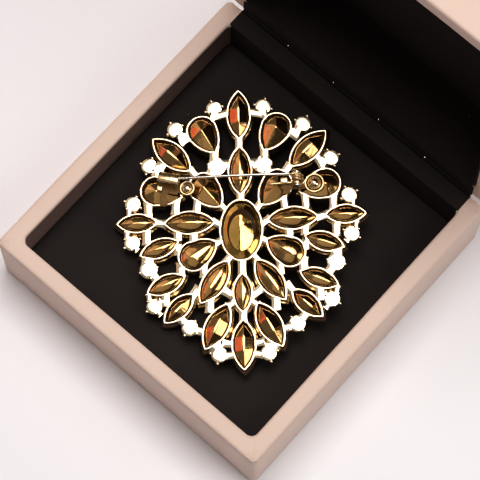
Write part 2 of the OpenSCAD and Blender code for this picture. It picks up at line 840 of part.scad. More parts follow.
// Lining of the lid's top and walls, lapped over its back rim
module lid_lining() {
    low = tray_h + lid_gap;
    out_w = box_w - 2 * wall_t - 2 * seat_gap;
    out_d = box_d - 2 * wall_t - 2 * seat_gap;
    depth = lid_h - floor_t - seat_gap;
    over = wall_t - lining_short;
    color(VELVET) swung_open() {
        difference() {
            translate([-out_w / 2, -out_d / 2, low]) cube([out_w, out_d, depth]);
            translate([-out_w / 2 + lining_t, -out_d / 2 + lining_t, low - past])
                cube([out_w - 2 * lining_t, out_d - 2 * lining_t, depth - 2 * lining_t + past]);
        }
        translate([-out_w / 2, out_d / 2 - lining_t, low])
            cube([out_w, over + lining_t, lining_step - seat_gap]);
    }
}

module box_hinge_pin() {
    pin_l = knuckle_span - 2 * knuckle_play;
    color(STEEL) translate([-pin_l / 2, hinge_y, hinge_z])
        rotate([0, 90, 0]) cylinder(h = pin_l, r = hinge_pin_r, $fn = small_fn);
}

// A stone on its row, on the right half or mirrored to the left
module on_row(row, left) {
    on_brooch() mirror([left ? 1 : 0, 0, 0])
        translate([row[U], row[V], 0]) rotate(row[TURN]) children();
}

casting();
for (row = LARGE_AXIS)
    on_row(row, false) navette_stone(LARGE, large_keel_h);
for (row = SMALL_AXIS)
    on_row(row, false) navette_stone(SMALL, small_keel_h);
for (side = ["_right", "_left"]) {
    for (row = LARGE_PAIRS)
        on_row(row, side == "_left") navette_stone(LARGE, large_keel_h);
    for (row = SMALL_PAIRS)
        on_row(row, side == "_left") navette_stone(SMALL, small_keel_h);
    for (row = PEAR_PAIRS)
        on_row(row, side == "_left") pear_stone(row[KEEL_H]);
}
on_brooch() oval_stone();  // centre_oval
round_stones();
catch();
catch_rivet();
hinge_bracket();
hinge_rivet();
coil_axle();
coil_spring();
pin_stem();
box_tray();
tray_pad();
tray_lining();
box_lid();
lid_lining();
box_hinge_pin();
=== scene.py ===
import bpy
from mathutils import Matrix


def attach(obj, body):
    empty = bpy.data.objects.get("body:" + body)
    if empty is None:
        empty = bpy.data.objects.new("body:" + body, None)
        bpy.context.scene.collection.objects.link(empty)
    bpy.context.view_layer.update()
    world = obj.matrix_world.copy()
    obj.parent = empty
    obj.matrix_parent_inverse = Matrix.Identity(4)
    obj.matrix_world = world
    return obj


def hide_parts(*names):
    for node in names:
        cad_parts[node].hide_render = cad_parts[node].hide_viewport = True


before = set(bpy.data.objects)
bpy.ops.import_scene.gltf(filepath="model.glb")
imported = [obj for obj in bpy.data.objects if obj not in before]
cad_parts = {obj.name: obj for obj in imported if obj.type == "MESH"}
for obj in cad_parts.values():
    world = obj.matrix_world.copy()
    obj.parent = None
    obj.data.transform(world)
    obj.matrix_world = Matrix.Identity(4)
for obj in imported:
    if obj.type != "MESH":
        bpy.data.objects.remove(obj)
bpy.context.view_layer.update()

import math

import bmesh
import bpy
from mathutils import Matrix, Vector, noise


# Camera
# A long lens held over the front right of the box, 18 degrees off the vertical, so that most of the
# upright lid is out of the picture. The rows are the picture's right, its up, and the way back to the eye.
MM = 0.001
SIGHT = Matrix((
    (0.74918, 0.66236, -0.00082),
    (-0.63005, 0.71302, 0.30765),
    (0.20436, -0.22997, 0.9515),
))
EYE = Vector((137.91, -155.66, 652.92)) * MM

camera = bpy.data.objects.new("camera", bpy.data.cameras.new("camera"))
camera.data.sensor_width = 36
camera.data.lens = 189.65
camera.data.clip_end = 20
camera.matrix_world = Matrix.LocRotScale(EYE, SIGHT.transposed().to_quaternion(), None)
bpy.context.collection.objects.link(camera)
bpy.context.scene.camera = camera
bpy.context.scene.view_settings.view_transform = "Standard"


# Table top and light
# The box stands on a smooth white board, with a large soft light overhead and a smaller one past the lid. An
# orange card and three pale ones, at the left and the front of the picture, show only in shiny things.
def linear(code):
    """An sRGB hex colour as the linear values that a shader takes."""
    parts = [int(code[i:i + 2], 16) / 255 for i in (1, 3, 5)]
    bent = [c / 12.92 if c <= 0.04045 else ((c + 0.055) / 1.055) ** 2.4 for c in parts]
    return (*bent, 1.0)


def add(tree, kind, values=None, links=None, **settings):
    """Adds a node: its options, the values of its inputs, and the sockets that feed the others.

    Where a node is named as what feeds an input, its first output is meant.
    """
    node = tree.nodes.new(kind)
    for option, value in settings.items():
        setattr(node, option, value)
    for name, value in (values or {}).items():
        node.inputs[name].default_value = value
    for name, source in (links or {}).items():
        tree.links.new(getattr(source, "outputs", [source])[0], node.inputs[name])
    return node


def blank(name):
    """A new material, its node tree, and the socket that gives each point's place in metres."""
    material = bpy.data.materials.new(name)
    material.use_nodes = True
    tree = material.node_tree
    tree.nodes.clear()
    return material, tree, add(tree, "ShaderNodeTexCoord").outputs["Object"]


# Coated white board: matt, faintly cool, with a grain of about 3 mm that barely shows
board, tree, place = blank("coated_board_matt")
grain = add(tree, "ShaderNodeTexNoise", {"Scale": 1000 / 3.0, "Detail": 3.0}, {"Vector": place})
dent = add(tree, "ShaderNodeBump", {"Strength": 0.15, "Distance": 0.05 * MM}, {"Height": grain})
shader = add(tree, "ShaderNodeBsdfPrincipled", {"Base Color": linear("#f5f5fa"), "Roughness": 0.75},
             {"Normal": dent})
add(tree, "ShaderNodeOutputMaterial", None, {"Surface": shader})

TABLE_REACH = 1.6
corners = [(x * TABLE_REACH, y * TABLE_REACH, 0) for x, y in ((-1, -1), (1, -1), (1, 1), (-1, 1))]
table_mesh = bpy.data.meshes.new("table_top")
table_mesh.from_pydata(corners, [], [(0, 1, 2, 3)])
table_mesh.materials.append(board)
table_top = bpy.data.objects.new("table_top", table_mesh)
bpy.context.collection.objects.link(table_top)

# Each lamp: its place, its width and height, its watts, its colour, and how much it lights matt things. The
# softbox hangs level, and the others face the box.
LAMPS = {
    "overhead_softbox": ((-0.16, 0.21, 1.15), (0.7, 0.66), 10.4, "#fffaf6", 1.0),
    "side_window": ((0.78, 0.36, 0.85), (0.7, 0.7), 5.0, "#fffaf6", 1.0),
    "warm_card": ((-0.6, -0.32, 0.41), (0.42, 0.17), 0.18, "#ff5f58", 0.0),
    "pale_card": ((-0.73, 0.1, 0.66), (0.34, 0.4), 0.26, "#ffdcc8", 0.0),
    "left_card": ((-0.58, -0.17, 0.68), (0.5, 0.46), 0.28, "#f8ecdc", 0.0),
    "front_card": ((0.1, -0.4, 0.8), (0.6, 0.46), 0.26, "#f8ecdc", 0.0),
}
for name, (at, size, power, colour, matt_share) in LAMPS.items():
    light = bpy.data.lights.new(name, "AREA")
    light.shape = "RECTANGLE"
    light.size, light.size_y = size
    light.energy = power
    light.color = linear(colour)[:3]
    light.diffuse_factor = matt_share
    lamp = bpy.data.objects.new(name, light)
    lamp.location = at
    lamp.rotation_mode = "QUATERNION"
    lamp.rotation_quaternion = Vector((0, 0, 1) if "overhead" in name else at).to_track_quat("Z", "Y")
    bpy.context.collection.objects.link(lamp)

# The room is dim: a little paler overhead and to the left of the picture, and darkest low down past the lid
room = bpy.data.worlds.new("pale_room")
room.use_nodes = True
room.node_tree.nodes.clear()
tree = room.node_tree
sky = add(tree, "ShaderNodeTexCoord")
toward = add(tree, "ShaderNodeVectorMath", {1: (-0.6, -0.4, 0.69)}, {0: sky.outputs["Generated"]},
             operation="DOT_PRODUCT")
wall = add(tree, "ShaderNodeMapRange", {"From Min": 0.5, "From Max": 0.85, "To Min": 0.03, "To Max": 0.14},
           {"Value": toward.outputs["Value"]})
air = add(tree, "ShaderNodeBackground", {"Color": linear("#f6f1ee")}, {"Strength": wall})
add(tree, "ShaderNodeOutputWorld", None, {"Surface": air})
bpy.context.scene.world = room


# Tray
# The lower half of the box: board walls wrapped in pink-beige leatherette, which is glued down and turned
# over the rim. The cover is mitred at the corners, where its turned edge shows as a fold.
BOX_W, BOX_D, TRAY_H = 90, 92, 22.5
WALL = 4.8
LINING_REACH = BOX_W / 2 - WALL
WALL_SHADE_TOP = 21.1
# Spans along a wall and round a corner, fine enough for the ripples of the wrap
SPANS_X, SPANS_Y, CORNER_SPANS = 26, 22, 6


def wall_loop(inset, corner, z, fold=0.0):
    """One level of a wall, in mm: the box's outline inset, its round corners lowered by fold at the mitre."""
    half_x, half_y = BOX_W / 2 - inset, BOX_D / 2 - inset
    reach_x, reach_y = min(LINING_REACH, half_x - corner), half_y - corner
    along_x = [reach_x * (2 * i / SPANS_X - 1) for i in range(SPANS_X + 1)]
    along_y = [reach_y * (2 * i / SPANS_Y - 1) for i in range(1, SPANS_Y)]
    sides = ([(half_x, y) for y in along_y], [(x, half_y) for x in reversed(along_x)],
             [(-half_x, y) for y in reversed(along_y)], [(x, -half_y) for x in along_x])
    loop = []
    for sx, sy, start, side in zip((1, 1, -1, -1), (-1, 1, 1, -1), (-90, 0, 90, 180), sides):
        for i in range(CORNER_SPANS + 1):
            a = math.radians(start + 90 * i / CORNER_SPANS)
            drop = fold if 2 * i == CORNER_SPANS else 0
            loop.append((sx * (half_x - corner) + corner * math.cos(a),
                         sy * (half_y - corner) + corner * math.sin(a), z - drop))
        loop += [(x, y, z) for x, y in side]
    return loop


def loft(bm, loops, ring=False, finish=0, to_world=None):
    """Skins loops of equal point counts; ring joins the last loop to the first, else both ends are capped."""
    rows = [[bm.verts.new(to_world @ Vector(p) if to_world else Vector(p)) for p in loop] for loop in loops]
    count = len(rows[0])
    spans = list(zip(rows, rows[1:])) + ([(rows[-1], rows[0])] if ring else [])
    faces = [bm.faces.new((a[j], a[(j + 1) % count], b[(j + 1) % count], b[j]))
             for a, b in spans for j in range(count)]
    if not ring:
        faces += [bm.faces.new(rows[0][::-1]), bm.faces.new(rows[-1])]
    for face in faces:
        face.material_index = finish
    return faces


def solid(name, bm):
    """Turns a mesh into an object, with its faces outward."""
    bmesh.ops.recalc_face_normals(bm, faces=bm.faces)
    mesh = bpy.data.meshes.new(name)
    bm.to_mesh(mesh)
    bm.free()
    made = bpy.data.objects.new(name, mesh)
    bpy.context.collection.objects.link(made)
    return made


def piece(name, bm, body, finishes, stands_for=(), crease=35):
    """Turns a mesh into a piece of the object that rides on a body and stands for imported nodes."""
    made = solid(name, bm)
    made.data.shade_smooth()
    made.data.set_sharp_from_angle(angle=math.radians(crease))
    for finish in finishes:
        made.data.materials.append(finish)
    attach(made, body)
    if stands_for:
        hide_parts(*stands_for)
    return made


def ripple(bm, depth, length, keep_under=0.0):
    """Moves points in and out by up to depth over waves of about length, as a glued wrap does. In mm."""
    bm.normal_update()
    for vert in bm.verts:
        if vert.co.z > keep_under:
            vert.co += vert.normal * depth * noise.noise(vert.co / length)


# Polyurethane leatherette, embossed with a fine pebble of 0.7 mm: satin, with pores that catch a little
# shade. Where it is gathered round the tray's corners it has small creases about 0.8 mm apart. They begin
# GATHER_FROM mm from the two sides that meet there.
GATHER_FROM, GATHER_FULL = 4.5, 2.0
leatherette, tree, place = blank("leatherette_embossed")
pebble = add(tree, "ShaderNodeTexVoronoi", {"Scale": 1000 / 0.7}, {"Vector": place}, feature="SMOOTH_F1")
cloud = add(tree, "ShaderNodeTexNoise", {"Scale": 1000 / 18, "Detail": 4.0}, {"Vector": place})
shade = add(tree, "ShaderNodeMix", {6: linear("#d8bdae"), 7: linear("#e2c9bb")}, {0: cloud}, data_type="RGBA")
parts = add(tree, "ShaderNodeSeparateXYZ", None, {"Vector": place})
near = []
for axis, half in (("X", BOX_W / 2), ("Y", BOX_D / 2)):
    out = add(tree, "ShaderNodeMath", None, {0: parts.outputs[axis]}, operation="ABSOLUTE")
    near.append(add(tree, "ShaderNodeMapRange", {"From Min": (half - GATHER_FROM) * MM,
                                                 "From Max": (half - GATHER_FULL) * MM}, {"Value": out}))
corner = add(tree, "ShaderNodeMath", None, {0: near[0], 1: near[1]}, operation="MULTIPLY")
crease = add(tree, "ShaderNodeTexNoise", {"Scale": 1000 / 0.8, "Detail": 1.0, "Distortion": 0.6},
             {"Vector": place})
gather = add(tree, "ShaderNodeMath", None, {0: crease, 1: corner}, operation="MULTIPLY")
folds = add(tree, "ShaderNodeBump", {"Strength": 0.9, "Distance": 0.5 * MM}, {"Height": gather})
dent = add(tree, "ShaderNodeBump", {"Strength": 0.35, "Distance": 0.06 * MM},
           {"Height": pebble, "Normal": folds})
shader = add(tree, "ShaderNodeBsdfPrincipled", {"Roughness": 0.52, "Specular IOR Level": 0.35},
             {"Base Color": shade.outputs[2], "Normal": dent})
add(tree, "ShaderNodeOutputMaterial", None, {"Surface": shader})

# Black velvet: a short cut pile that swallows light but for a faint bloom at grazing angles. The pile's
# clumps are drawn 1.2 mm wide to show at all, and pale specks of dust 0.2 mm wide lie on it 10 mm apart.
velvet, tree, place = blank("black_velvet_cut_pile")
clumps = add(tree, "ShaderNodeTexNoise", {"Scale": 1000 / 1.2, "Detail": 5.0, "Roughness": 0.7},
             {"Vector": place})
lay = add(tree, "ShaderNodeTexNoise", {"Scale": 1000 / 25, "Detail": 2.0}, {"Vector": place})
pile = add(tree, "ShaderNodeMix", {6: linear("#1d1919"), 7: linear("#292422")}, {0: lay}, data_type="RGBA")
specks = add(tree, "ShaderNodeTexVoronoi", {"Scale": 1000 / 10}, {"Vector": place})
lint = add(tree, "ShaderNodeMapRange", {"From Min": 0.014, "From Max": 0.008}, {"Value": specks})
dusty = add(tree, "ShaderNodeMix", {7: linear("#8d857b")}, {0: lint, 6: pile.outputs[2]}, data_type="RGBA")
dent = add(tree, "ShaderNodeBump", {"Strength": 0.5, "Distance": 0.15 * MM}, {"Height": clumps})
shader = add(tree, "ShaderNodeBsdfPrincipled",
             {"Roughness": 0.95, "Specular IOR Level": 0.12, "Sheen Weight": 0.06, "Sheen Roughness": 0.4,
              "Sheen Tint": linear("#8a7f7a")},
             {"Base Color": dusty.outputs[2], "Normal": dent})
add(tree, "ShaderNodeOutputMaterial", None, {"Surface": shader})

# The tray's inner walls are coloured a dark brown, far darker than the cover, with their shade painted into
# it:
# matt, and a little lighter at grazing angles. Its grain is drawn 0.9 mm wide, coarse enough to show.
inner_wall_painted_shade, tree, place = blank("inner_wall_brown_painted_shade")
fibre = add(tree, "ShaderNodeTexNoise", {"Scale": 1000 / 0.9, "Detail": 4.0}, {"Vector": place})
wall_shade_tone = add(tree, "ShaderNodeMix", {6: linear("#604d47"), 7: linear("#866b64")}, {0: fibre}, data_type="RGBA")
dent = add(tree, "ShaderNodeBump", {"Strength": 0.4, "Distance": 0.1 * MM}, {"Height": fibre})
shader = add(tree, "ShaderNodeBsdfPrincipled",
             {"Roughness": 0.9, "Specular IOR Level": 0.2, "Sheen Weight": 0.1, "Sheen Roughness": 0.5,
              "Sheen Tint": linear("#a08a82")},
             {"Base Color": wall_shade_tone.outputs[2], "Normal": dent})
add(tree, "ShaderNodeOutputMaterial", None, {"Surface": shader})

# Each level of the wall: its inset from the box's outline, the corner's radius, its height and its fold
bm = bmesh.new()
faces = loft(bm, [wall_loop(*level) for level in (
    (0.5, 1.2, 0), (0.1, 1.4, 0.25), *[(0, 1.5, z) for z in (0.8, 5, 10, 15, 19, 21)],
    (0.12, 1.45, 21.2), (0.12, 1.45, 21.32), (0, 1.5, 21.5), (0, 1.5, 21.9),
    (0.12, 1.45, 22.25, 0.05), (0.4, 1.3, 22.46, 0.1), (1, 1.1, TRAY_H, 0.14), (2.4, 1.4, TRAY_H, 0.14),
    (WALL - 0.9, 1.7, TRAY_H, 0.14), (WALL - 0.4, 1.9, 22.42, 0.12), (WALL - 0.08, 2.1, 22.1, 0.05),
    (WALL, 2.1, 21.5), (WALL - 0.12, 2.1, 20.9), (WALL - 0.12, 2.1, 17), (WALL - 0.12, 2.1, 12),
    (WALL, 2.1, 3),
)])
# The inner walls take the dark brown painted shade, and black cloth covers the edge along the hinge
inside_x, inside_y = BOX_W / 2 - WALL, BOX_D / 2 - WALL
BACK_EDGE = BOX_D / 2 - 0.7
for face in faces:
    middle = face.calc_center_median()
    if abs(middle.x) < inside_x + 0.2 and abs(middle.y) < inside_y + 0.2 and 1 < middle.z < WALL_SHADE_TOP:
        face.material_index = 1
    elif middle.y > BACK_EDGE and abs(middle.x) < LINING_REACH and middle.z > 20:
        face.material_index = 2
ripple(bm, 0.09, 14, keep_under=1)
bm.transform(Matrix.Scale(MM, 4))
piece("tray_cover", bm, "box_and_brooch", [leatherette, inner_wall_painted_shade, velvet], ["box_tray"], 50)


# Pad
# A block of foam under black velvet fills the tray to 11 mm below its rim. It is pressed into the tray, so
# its edges roll down a little along the walls and its face is not quite flat.
PAD_TOP = 11.5
PAD_X, PAD_LOW_Y, PAD_HIGH_Y = 40.1, -41.1, 40.5


def pad_loop(inset, z, wave=0.0):
    """One level of the pad, in mm, inset from its outline, with its height varied by wave."""
    half, low, high = PAD_X - inset, PAD_LOW_Y + inset, PAD_HIGH_Y - inset
    corner = max(2.2 - inset, 0.4)
    centres = ((half - corner, low + corner), (half - corner, high - corner),
               (corner - half, high - corner), (corner - half, low + corner))
    arcs = []
    for k, (x, y) in enumerate(centres):
        turns = [math.radians(90 * k - 90 + 22.5 * i) for i in range(5)]
        arcs.append([Vector((x + corner * math.cos(a), y + corner * math.sin(a), z)) for a in turns])
    loop = []
    for arc, following in zip(arcs, arcs[1:] + arcs[:1]):
        loop += arc + [arc[-1].lerp(following[0], i / 18) for i in range(1, 18)]
    for point in loop:
        point.z += wave * noise.noise(point / 15)
    return loop


bm = bmesh.new()
loft(bm, [pad_loop(*level) for level in (
    (0.3, 3.05), (0, 3.4), (0, 9.4), (0.1, 10.3), (0.5, 10.95, 0.1), (1.2, 11.25, 0.2), (2.4, 11.36, 0.25),
    *[(inset, 11.4, 0.3) for inset in (5, 9, 14, 20, 27)], (34, 11.4, 0.25), (39, 11.4, 0.2),
)])
for vert in bm.verts:
    vert.co.z = min(vert.co.z, PAD_TOP)
bm.transform(Matrix.Scale(MM, 4))
pad = piece("velvet_pad", bm, "box_and_brooch", [velvet], ["tray_pad"])


# Tray lining
# A strip of the same black velvet is glued to the tray's back wall, between the pad and the rim. The black
# cloth then runs on over the rim to the lid, so that no leatherette shows at the hinge.
def cloth_strip(bm, section):
    """A strip of cloth along X with the given (y, z) section, in mm, swelling and sinking a little."""
    loops = []
    for i in range(41):
        x = (LINING_REACH - 0.1) * (i / 20 - 1)
        swell = 0.03 * noise.noise(Vector((x / 9, 0, 0)))
        loops.append([(x, y - swell, z) for y, z in section])
    loft(bm, loops)


bm = bmesh.new()
cloth_strip(bm, [
    (40.62, 8), (40.62, 22.0), (40.75, 22.4), (41.05, 22.58), (41.6, 22.62), (45.6, 22.62), (45.95, 22.55),
    (45.95, 22.42), (41.4, 22.4), (41.15, 22.2), (41.15, 8),
])
bm.transform(Matrix.Scale(MM, 4))
piece("tray_back_lining", bm, "box_and_brooch", [velvet], ["tray_lining"])


# Lid
# The upper half of the box, made and covered as the tray is, and stood open at a right angle. It is shaped
# here closed, face down on the tray, and then swung back about its hinge.
HINGE_Y, HINGE_Z = 46.3, 22.65
LID_LOW, LID_HIGH = 22.8, 44.8
open_lid = Matrix.Translation((0, HINGE_Y, HINGE_Z)) @ Matrix.Rotation(math.radians(-90), 4, "X")
open_lid = Matrix.Scale(MM, 4) @ open_lid @ Matrix.Translation((0, -HINGE_Y, -HINGE_Z))

bm = bmesh.new()
faces = loft(bm, [wall_loop(*level) for level in (
    (WALL, 2.1, 41.8), (WALL, 2.1, 34), (WALL, 2.1, 28), (WALL, 2.1, LID_LOW + 0.9),
    (WALL - 0.08, 2.1, LID_LOW + 0.4), (WALL - 0.4, 1.9, LID_LOW + 0.08, -0.05),
    (WALL - 0.9, 1.7, LID_LOW, -0.1), (2.4, 1.4, LID_LOW, -0.12), (1, 1.1, LID_LOW, -0.12),
    (0.45, 1.3, LID_LOW + 0.05, -0.08), (0.12, 1.45, LID_LOW + 0.3, -0.05), (0, 1.5, LID_LOW + 0.8),
    (0, 1.5, 28), (0, 1.5, 33), (0, 1.5, 38), (0, 1.5, 43.9), (0.15, 1.45, 44.5), (0.6, 1.3, LID_HIGH),
    (6, 1.3, LID_HIGH), (20, 1.3, LID_HIGH),
)])
for face in faces:
    middle = face.calc_center_median()
    if middle.y > BACK_EDGE and abs(middle.x) < LINING_REACH and middle.z < 25:
        face.material_index = 1
ripple(bm, 0.09, 14)
bm.transform(open_lid)
piece("lid_cover", bm, "lid", [leatherette, velvet], ["box_lid"], 50)


# Lid lining
# Black velvet over thin card lines the lid. The panel in its top is lightly padded, and the cloth on the
# walls meets it in a soft crease.
OUTER, INNER = WALL + 0.06, WALL + 0.65
bm = bmesh.new()
loft(bm, [wall_loop(*level) for level in (
    (OUTER + 8, 1.6, 41.7), (OUTER, 2.0, 41.7), (OUTER, 2.0, 30), (OUTER, 2.0, LID_LOW + 0.5),
    (OUTER + 0.2, 1.9, LID_LOW + 0.2), (INNER - 0.1, 1.7, LID_LOW + 0.25), (INNER, 1.6, LID_LOW + 0.6),
    (INNER, 1.6, 30), (INNER, 1.6, 39.6), (INNER + 0.25, 1.5, 40.5), (INNER + 0.8, 1.4, 40.75),
    (INNER + 1.6, 1.4, 40.55), (INNER + 5, 1.4, 40.4), (INNER + 14, 1.4, 40.4), (INNER + 26, 1.4, 40.4),
)])
ripple(bm, 0.04, 11)
cloth_strip(bm, [
    (41.0, 24), (41.0, LID_LOW + 0.1), (41.3, LID_LOW - 0.1), (45.6, LID_LOW - 0.12), (45.95, LID_LOW - 0.05),
    (45.95, LID_LOW + 0.05), (41.5, LID_LOW + 0.08), (41.18, LID_LOW + 0.3), (41.18, 24),
])
bm.transform(open_lid)
piece("lid_velvet_lining", bm, "lid", [velvet], ["lid_lining"])


# Hinge
# Five short steel barrels on one pin join the lid to the tray along their back edges. They are let into the
# two covers in turn, so the first, third and fifth stay with the tray, and they are stoved black.

# Black stoving enamel: a dull satin skin that shows almost nothing next to the velvet
enamel, tree, place = blank("black_enamel_stoved")
orange_peel = add(tree, "ShaderNodeTexNoise", {"Scale": 1000 / 1.0}, {"Vector": place})
dent = add(tree, "ShaderNodeBump", {"Strength": 0.2, "Distance": 0.05 * MM}, {"Height": orange_peel})
shader = add(tree, "ShaderNodeBsdfPrincipled",
             {"Base Color": linear("#100e0e"), "Roughness": 0.75, "Specular IOR Level": 0.15},
             {"Normal": dent})
add(tree, "ShaderNodeOutputMaterial", None, {"Surface": shader})

# Drawn steel wire, bright: a near mirror with fine scratches, for the hinge's pin and the brooch's own pin.
# They run along X, as the hinge's pin does, and are drawn 0.8 mm wide to show at all.
SCRATCH_L, SCRATCH_W = 16.667, 0.8333
steel, tree, place = blank("spring_steel_drawn")
stretched = add(tree, "ShaderNodeMapping",
                {"Scale": (1000 / SCRATCH_L, 1000 / SCRATCH_W, 1000 / SCRATCH_W)}, {"Vector": place})
scratch = add(tree, "ShaderNodeTexNoise", {"Scale": 1.0, "Detail": 3.0}, {"Vector": stretched})
worn = add(tree, "ShaderNodeMapRange", {"To Min": 0.16, "To Max": 0.3}, {"Value": scratch})
shader = add(tree, "ShaderNodeBsdfPrincipled", {"Base Color": linear("#ece3d6"), "Metallic": 1.0},
             {"Roughness": worn})
add(tree, "ShaderNodeOutputMaterial", None, {"Surface": shader})


def turned(bm, profile, to_world, sides=24, ring=False, finish=0):
    """Spins a profile of (radius, height) points about the Z axis of to_world; ring closes it on itself."""
    spin = [(math.cos(2 * math.pi * i / sides), math.sin(2 * math.pi * i / sides)) for i in range(sides)]
    loops = [[(max(r, 1e-3) * x, max(r, 1e-3) * y, h) for x, y in spin] for r, h in profile]
    return loft(bm, loops, ring, finish, to_world)


BARREL, BARRELS = 16, 5
barrel_end = [(0.5, 0.15), (0.75, 0.15), (0.85, 0.3)]
barrel = barrel_end + [(r, BARREL - h) for r, h in reversed(barrel_end)]
for name, body, first in (("tray_hinge_barrels", "box_and_brooch", 0), ("lid_hinge_barrels", "lid", 1)):
    bm = bmesh.new()
    for k in range(first, BARRELS, 2):
        left = -BARREL * BARRELS / 2 + BARREL * k
        axis = Matrix.Translation((left, HINGE_Y, HINGE_Z)) @ Matrix.Rotation(math.radians(90), 4, "Y")
        turned(bm, barrel, Matrix.Scale(MM, 4) @ axis)
    piece(name, bm, body, [enamel])
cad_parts["box_hinge_pin"].data.materials.clear()
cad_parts["box_hinge_pin"].data.materials.append(steel)


# Casting: rims and bezels
# The brooch is one openwork casting, plated in pale gold and polished. Each stone lies in a cell: a smooth
# rim round its opening in the back, and below that a thin bezel wall that the stone is glued into.

# How the brooch lies: its back's height in mm, its turn in degrees, and its tilt about a line across it
BACK_H, TURN, TILT, TILT_LINE = 18.57, 42.6, 6.1, math.radians(26.5)
lean = Matrix.Rotation(math.radians(TILT), 4, Vector((math.sin(TILT_LINE), -math.cos(TILT_LINE), 0)))
brooch = Matrix.Translation((0, 0, BACK_H * MM)) @ Matrix.Rotation(math.radians(TURN), 4, "Z")
brooch = brooch @ lean @ Matrix.Scale(MM, 4)

# Half length and half width of the opening in the back, in mm, then of the stone. A pear has its end's radius
# and its tip's reach, and the oval its half width first, because it lies across.
CELLS = {
    "large": ((6.29, 2.75), (7.5, 3.5)),
    "small": ((4.9, 2.18), (6.0, 3.0)),
    "pear": ((3.65, 6.81), (4.1, 7.8)),
    "oval": ((5.25, 8.0), (6.0, 8.5)),
}
PEAR_WAIST = 0.15
# Points round each outline
AROUND = 64
# Name, cell, place across and along the brooch in mm, and turn in degrees. Five petals lie on its axis, and
# the others come in pairs, right and left.
AXIS_PETALS = [
    ("top_navette", "large", 0, 31.9, 90),
    ("upper_navette", "large", 0, 16.4, 90),
    ("bottom_navette", "large", 0, -31, 90),
    ("short_navette", "small", 0, -17.1, 90),
    ("centre_oval", "oval", 0, 0, 0),
]
PAIRED_PETALS = [
    ("shoulder_navette", "large", 18.2, 21.6, 43),
    ("inner_navette", "large", 13.7, 2.6, 1),
    ("lower_navette", "large", 7.4, -13.8, -56),
    ("foot_navette", "large", 7, -25.9, -62),
    ("side_navette", "small", 27.7, 3.1, 0),
    ("waist_navette", "small", 21.9, -4.1, -19),
    ("hip_navette", "small", 20.2, -14, -23),
    ("corner_navette", "small", 16.9, -20.6, -44),
    ("crest_pear", "pear", 10, 27.9, -120),
    ("flank_pear", "pear", 22.6, 11.8, -164),
    ("heart_pear", "pear", 9.8, 12.2, -130),
    ("lower_pear", "pear", 12.8, -6.6, 149),
]
PETALS = [(name, cell, u, v, turn, 1) for name, cell, u, v, turn in AXIS_PETALS]
for name, cell, u, v, turn in PAIRED_PETALS:
    PETALS += [(name + "_right", cell, u, v, turn, 1), (name + "_left", cell, u, v, turn, -1)]


def petal(u, v, turn, side):
    """The frame of one petal, in mm: its length along X, mirrored to the left half where side is -1."""
    return (Matrix.Diagonal((side, 1, 1, 1)) @ Matrix.Translation((u, v, 0))
            @ Matrix.Rotation(math.radians(turn), 4, "Z"))


def cell_edge(cell, layer, grow):
    """The outline of an opening (layer 0) or a stone (layer 1), grown outward, as points from its tip."""
    a, b = CELLS[cell][layer]
    if cell == "oval":
        turns = [2 * math.pi * i / AROUND for i in range(AROUND)]
        return [((a + grow) * math.cos(t), (b + grow) * math.sin(t)) for t in turns]
    half = AROUND // 2
    if cell == "pear":
        side_w = a - PEAR_WAIST
        arc = (b * b + side_w * side_w) / (2 * side_w)
        drop = arc - side_w
        arc += grow
        tip = math.sqrt(arc * arc - drop * drop)
        end = a + grow
        n = half // 2
        upper = []
        for i in range(n):
            x = tip * (1 - i / n)
            side = math.sqrt(arc * arc - x * x) - drop
            upper.append((x, max(side, math.sqrt(max(0, end * end - x * x)))))
        turns = [math.pi / 2 * (1 + i / n) for i in range(n)]
        upper += [(end * math.cos(t), end * math.sin(t)) for t in turns]
        return upper + [(-end, 0.0)] + [(x, -y) for x, y in reversed(upper[1:])]
    arc = (a * a + b * b) / (2 * b)
    drop = arc - b
    arc += grow
    sweep = math.acos(drop / arc)
    turns = [sweep * (1 - 2 * i / half) for i in range(half)]
    upper = [(arc * math.sin(t), arc * math.cos(t) - drop) for t in turns]
    return upper + [(-x, -y) for x, y in upper]


# Yellow-gold plate on cast white metal, barrel polished: a soft-edged mirror with a faint ripple of 1.5 mm
gold, tree, place = blank("gold_plate_polished")
wave = add(tree, "ShaderNodeTexNoise", {"Scale": 1000 / 1.5, "Detail": 2.0}, {"Vector": place})
cloud = add(tree, "ShaderNodeTexNoise", {"Scale": 1000 / 6, "Detail": 3.0}, {"Vector": place})
plate = add(tree, "ShaderNodeMix", {6: linear("#f0d9b0"), 7: linear("#f5e6c8")}, {0: cloud}, data_type="RGBA")
dent = add(tree, "ShaderNodeBump", {"Strength": 0.12, "Distance": 0.03 * MM}, {"Height": wave})
shader = add(tree, "ShaderNodeBsdfPrincipled", {"Metallic": 1.0, "Roughness": 0.16},
             {"Base Color": plate.outputs[2], "Normal": dent})
add(tree, "ShaderNodeOutputMaterial", None, {"Surface": shader})

# Painted shade for the deep corner between each rim and its stone: brown, and almost matt
recess_painted_shade, tree, place = blank("gold_plate_painted_shade")
cloud = add(tree, "ShaderNodeTexNoise", {"Scale": 1000 / 0.8, "Detail": 3.0}, {"Vector": place})
brown = add(tree, "ShaderNodeMix", {6: linear("#180d07"), 7: linear("#40260f")}, {0: cloud}, data_type="RGBA")
shader = add(tree, "ShaderNodeBsdfPrincipled", {"Roughness": 0.6, "Specular IOR Level": 0.12},
             {"Base Color": brown.outputs[2]})
add(tree, "ShaderNodeOutputMaterial", None, {"Surface": shader})
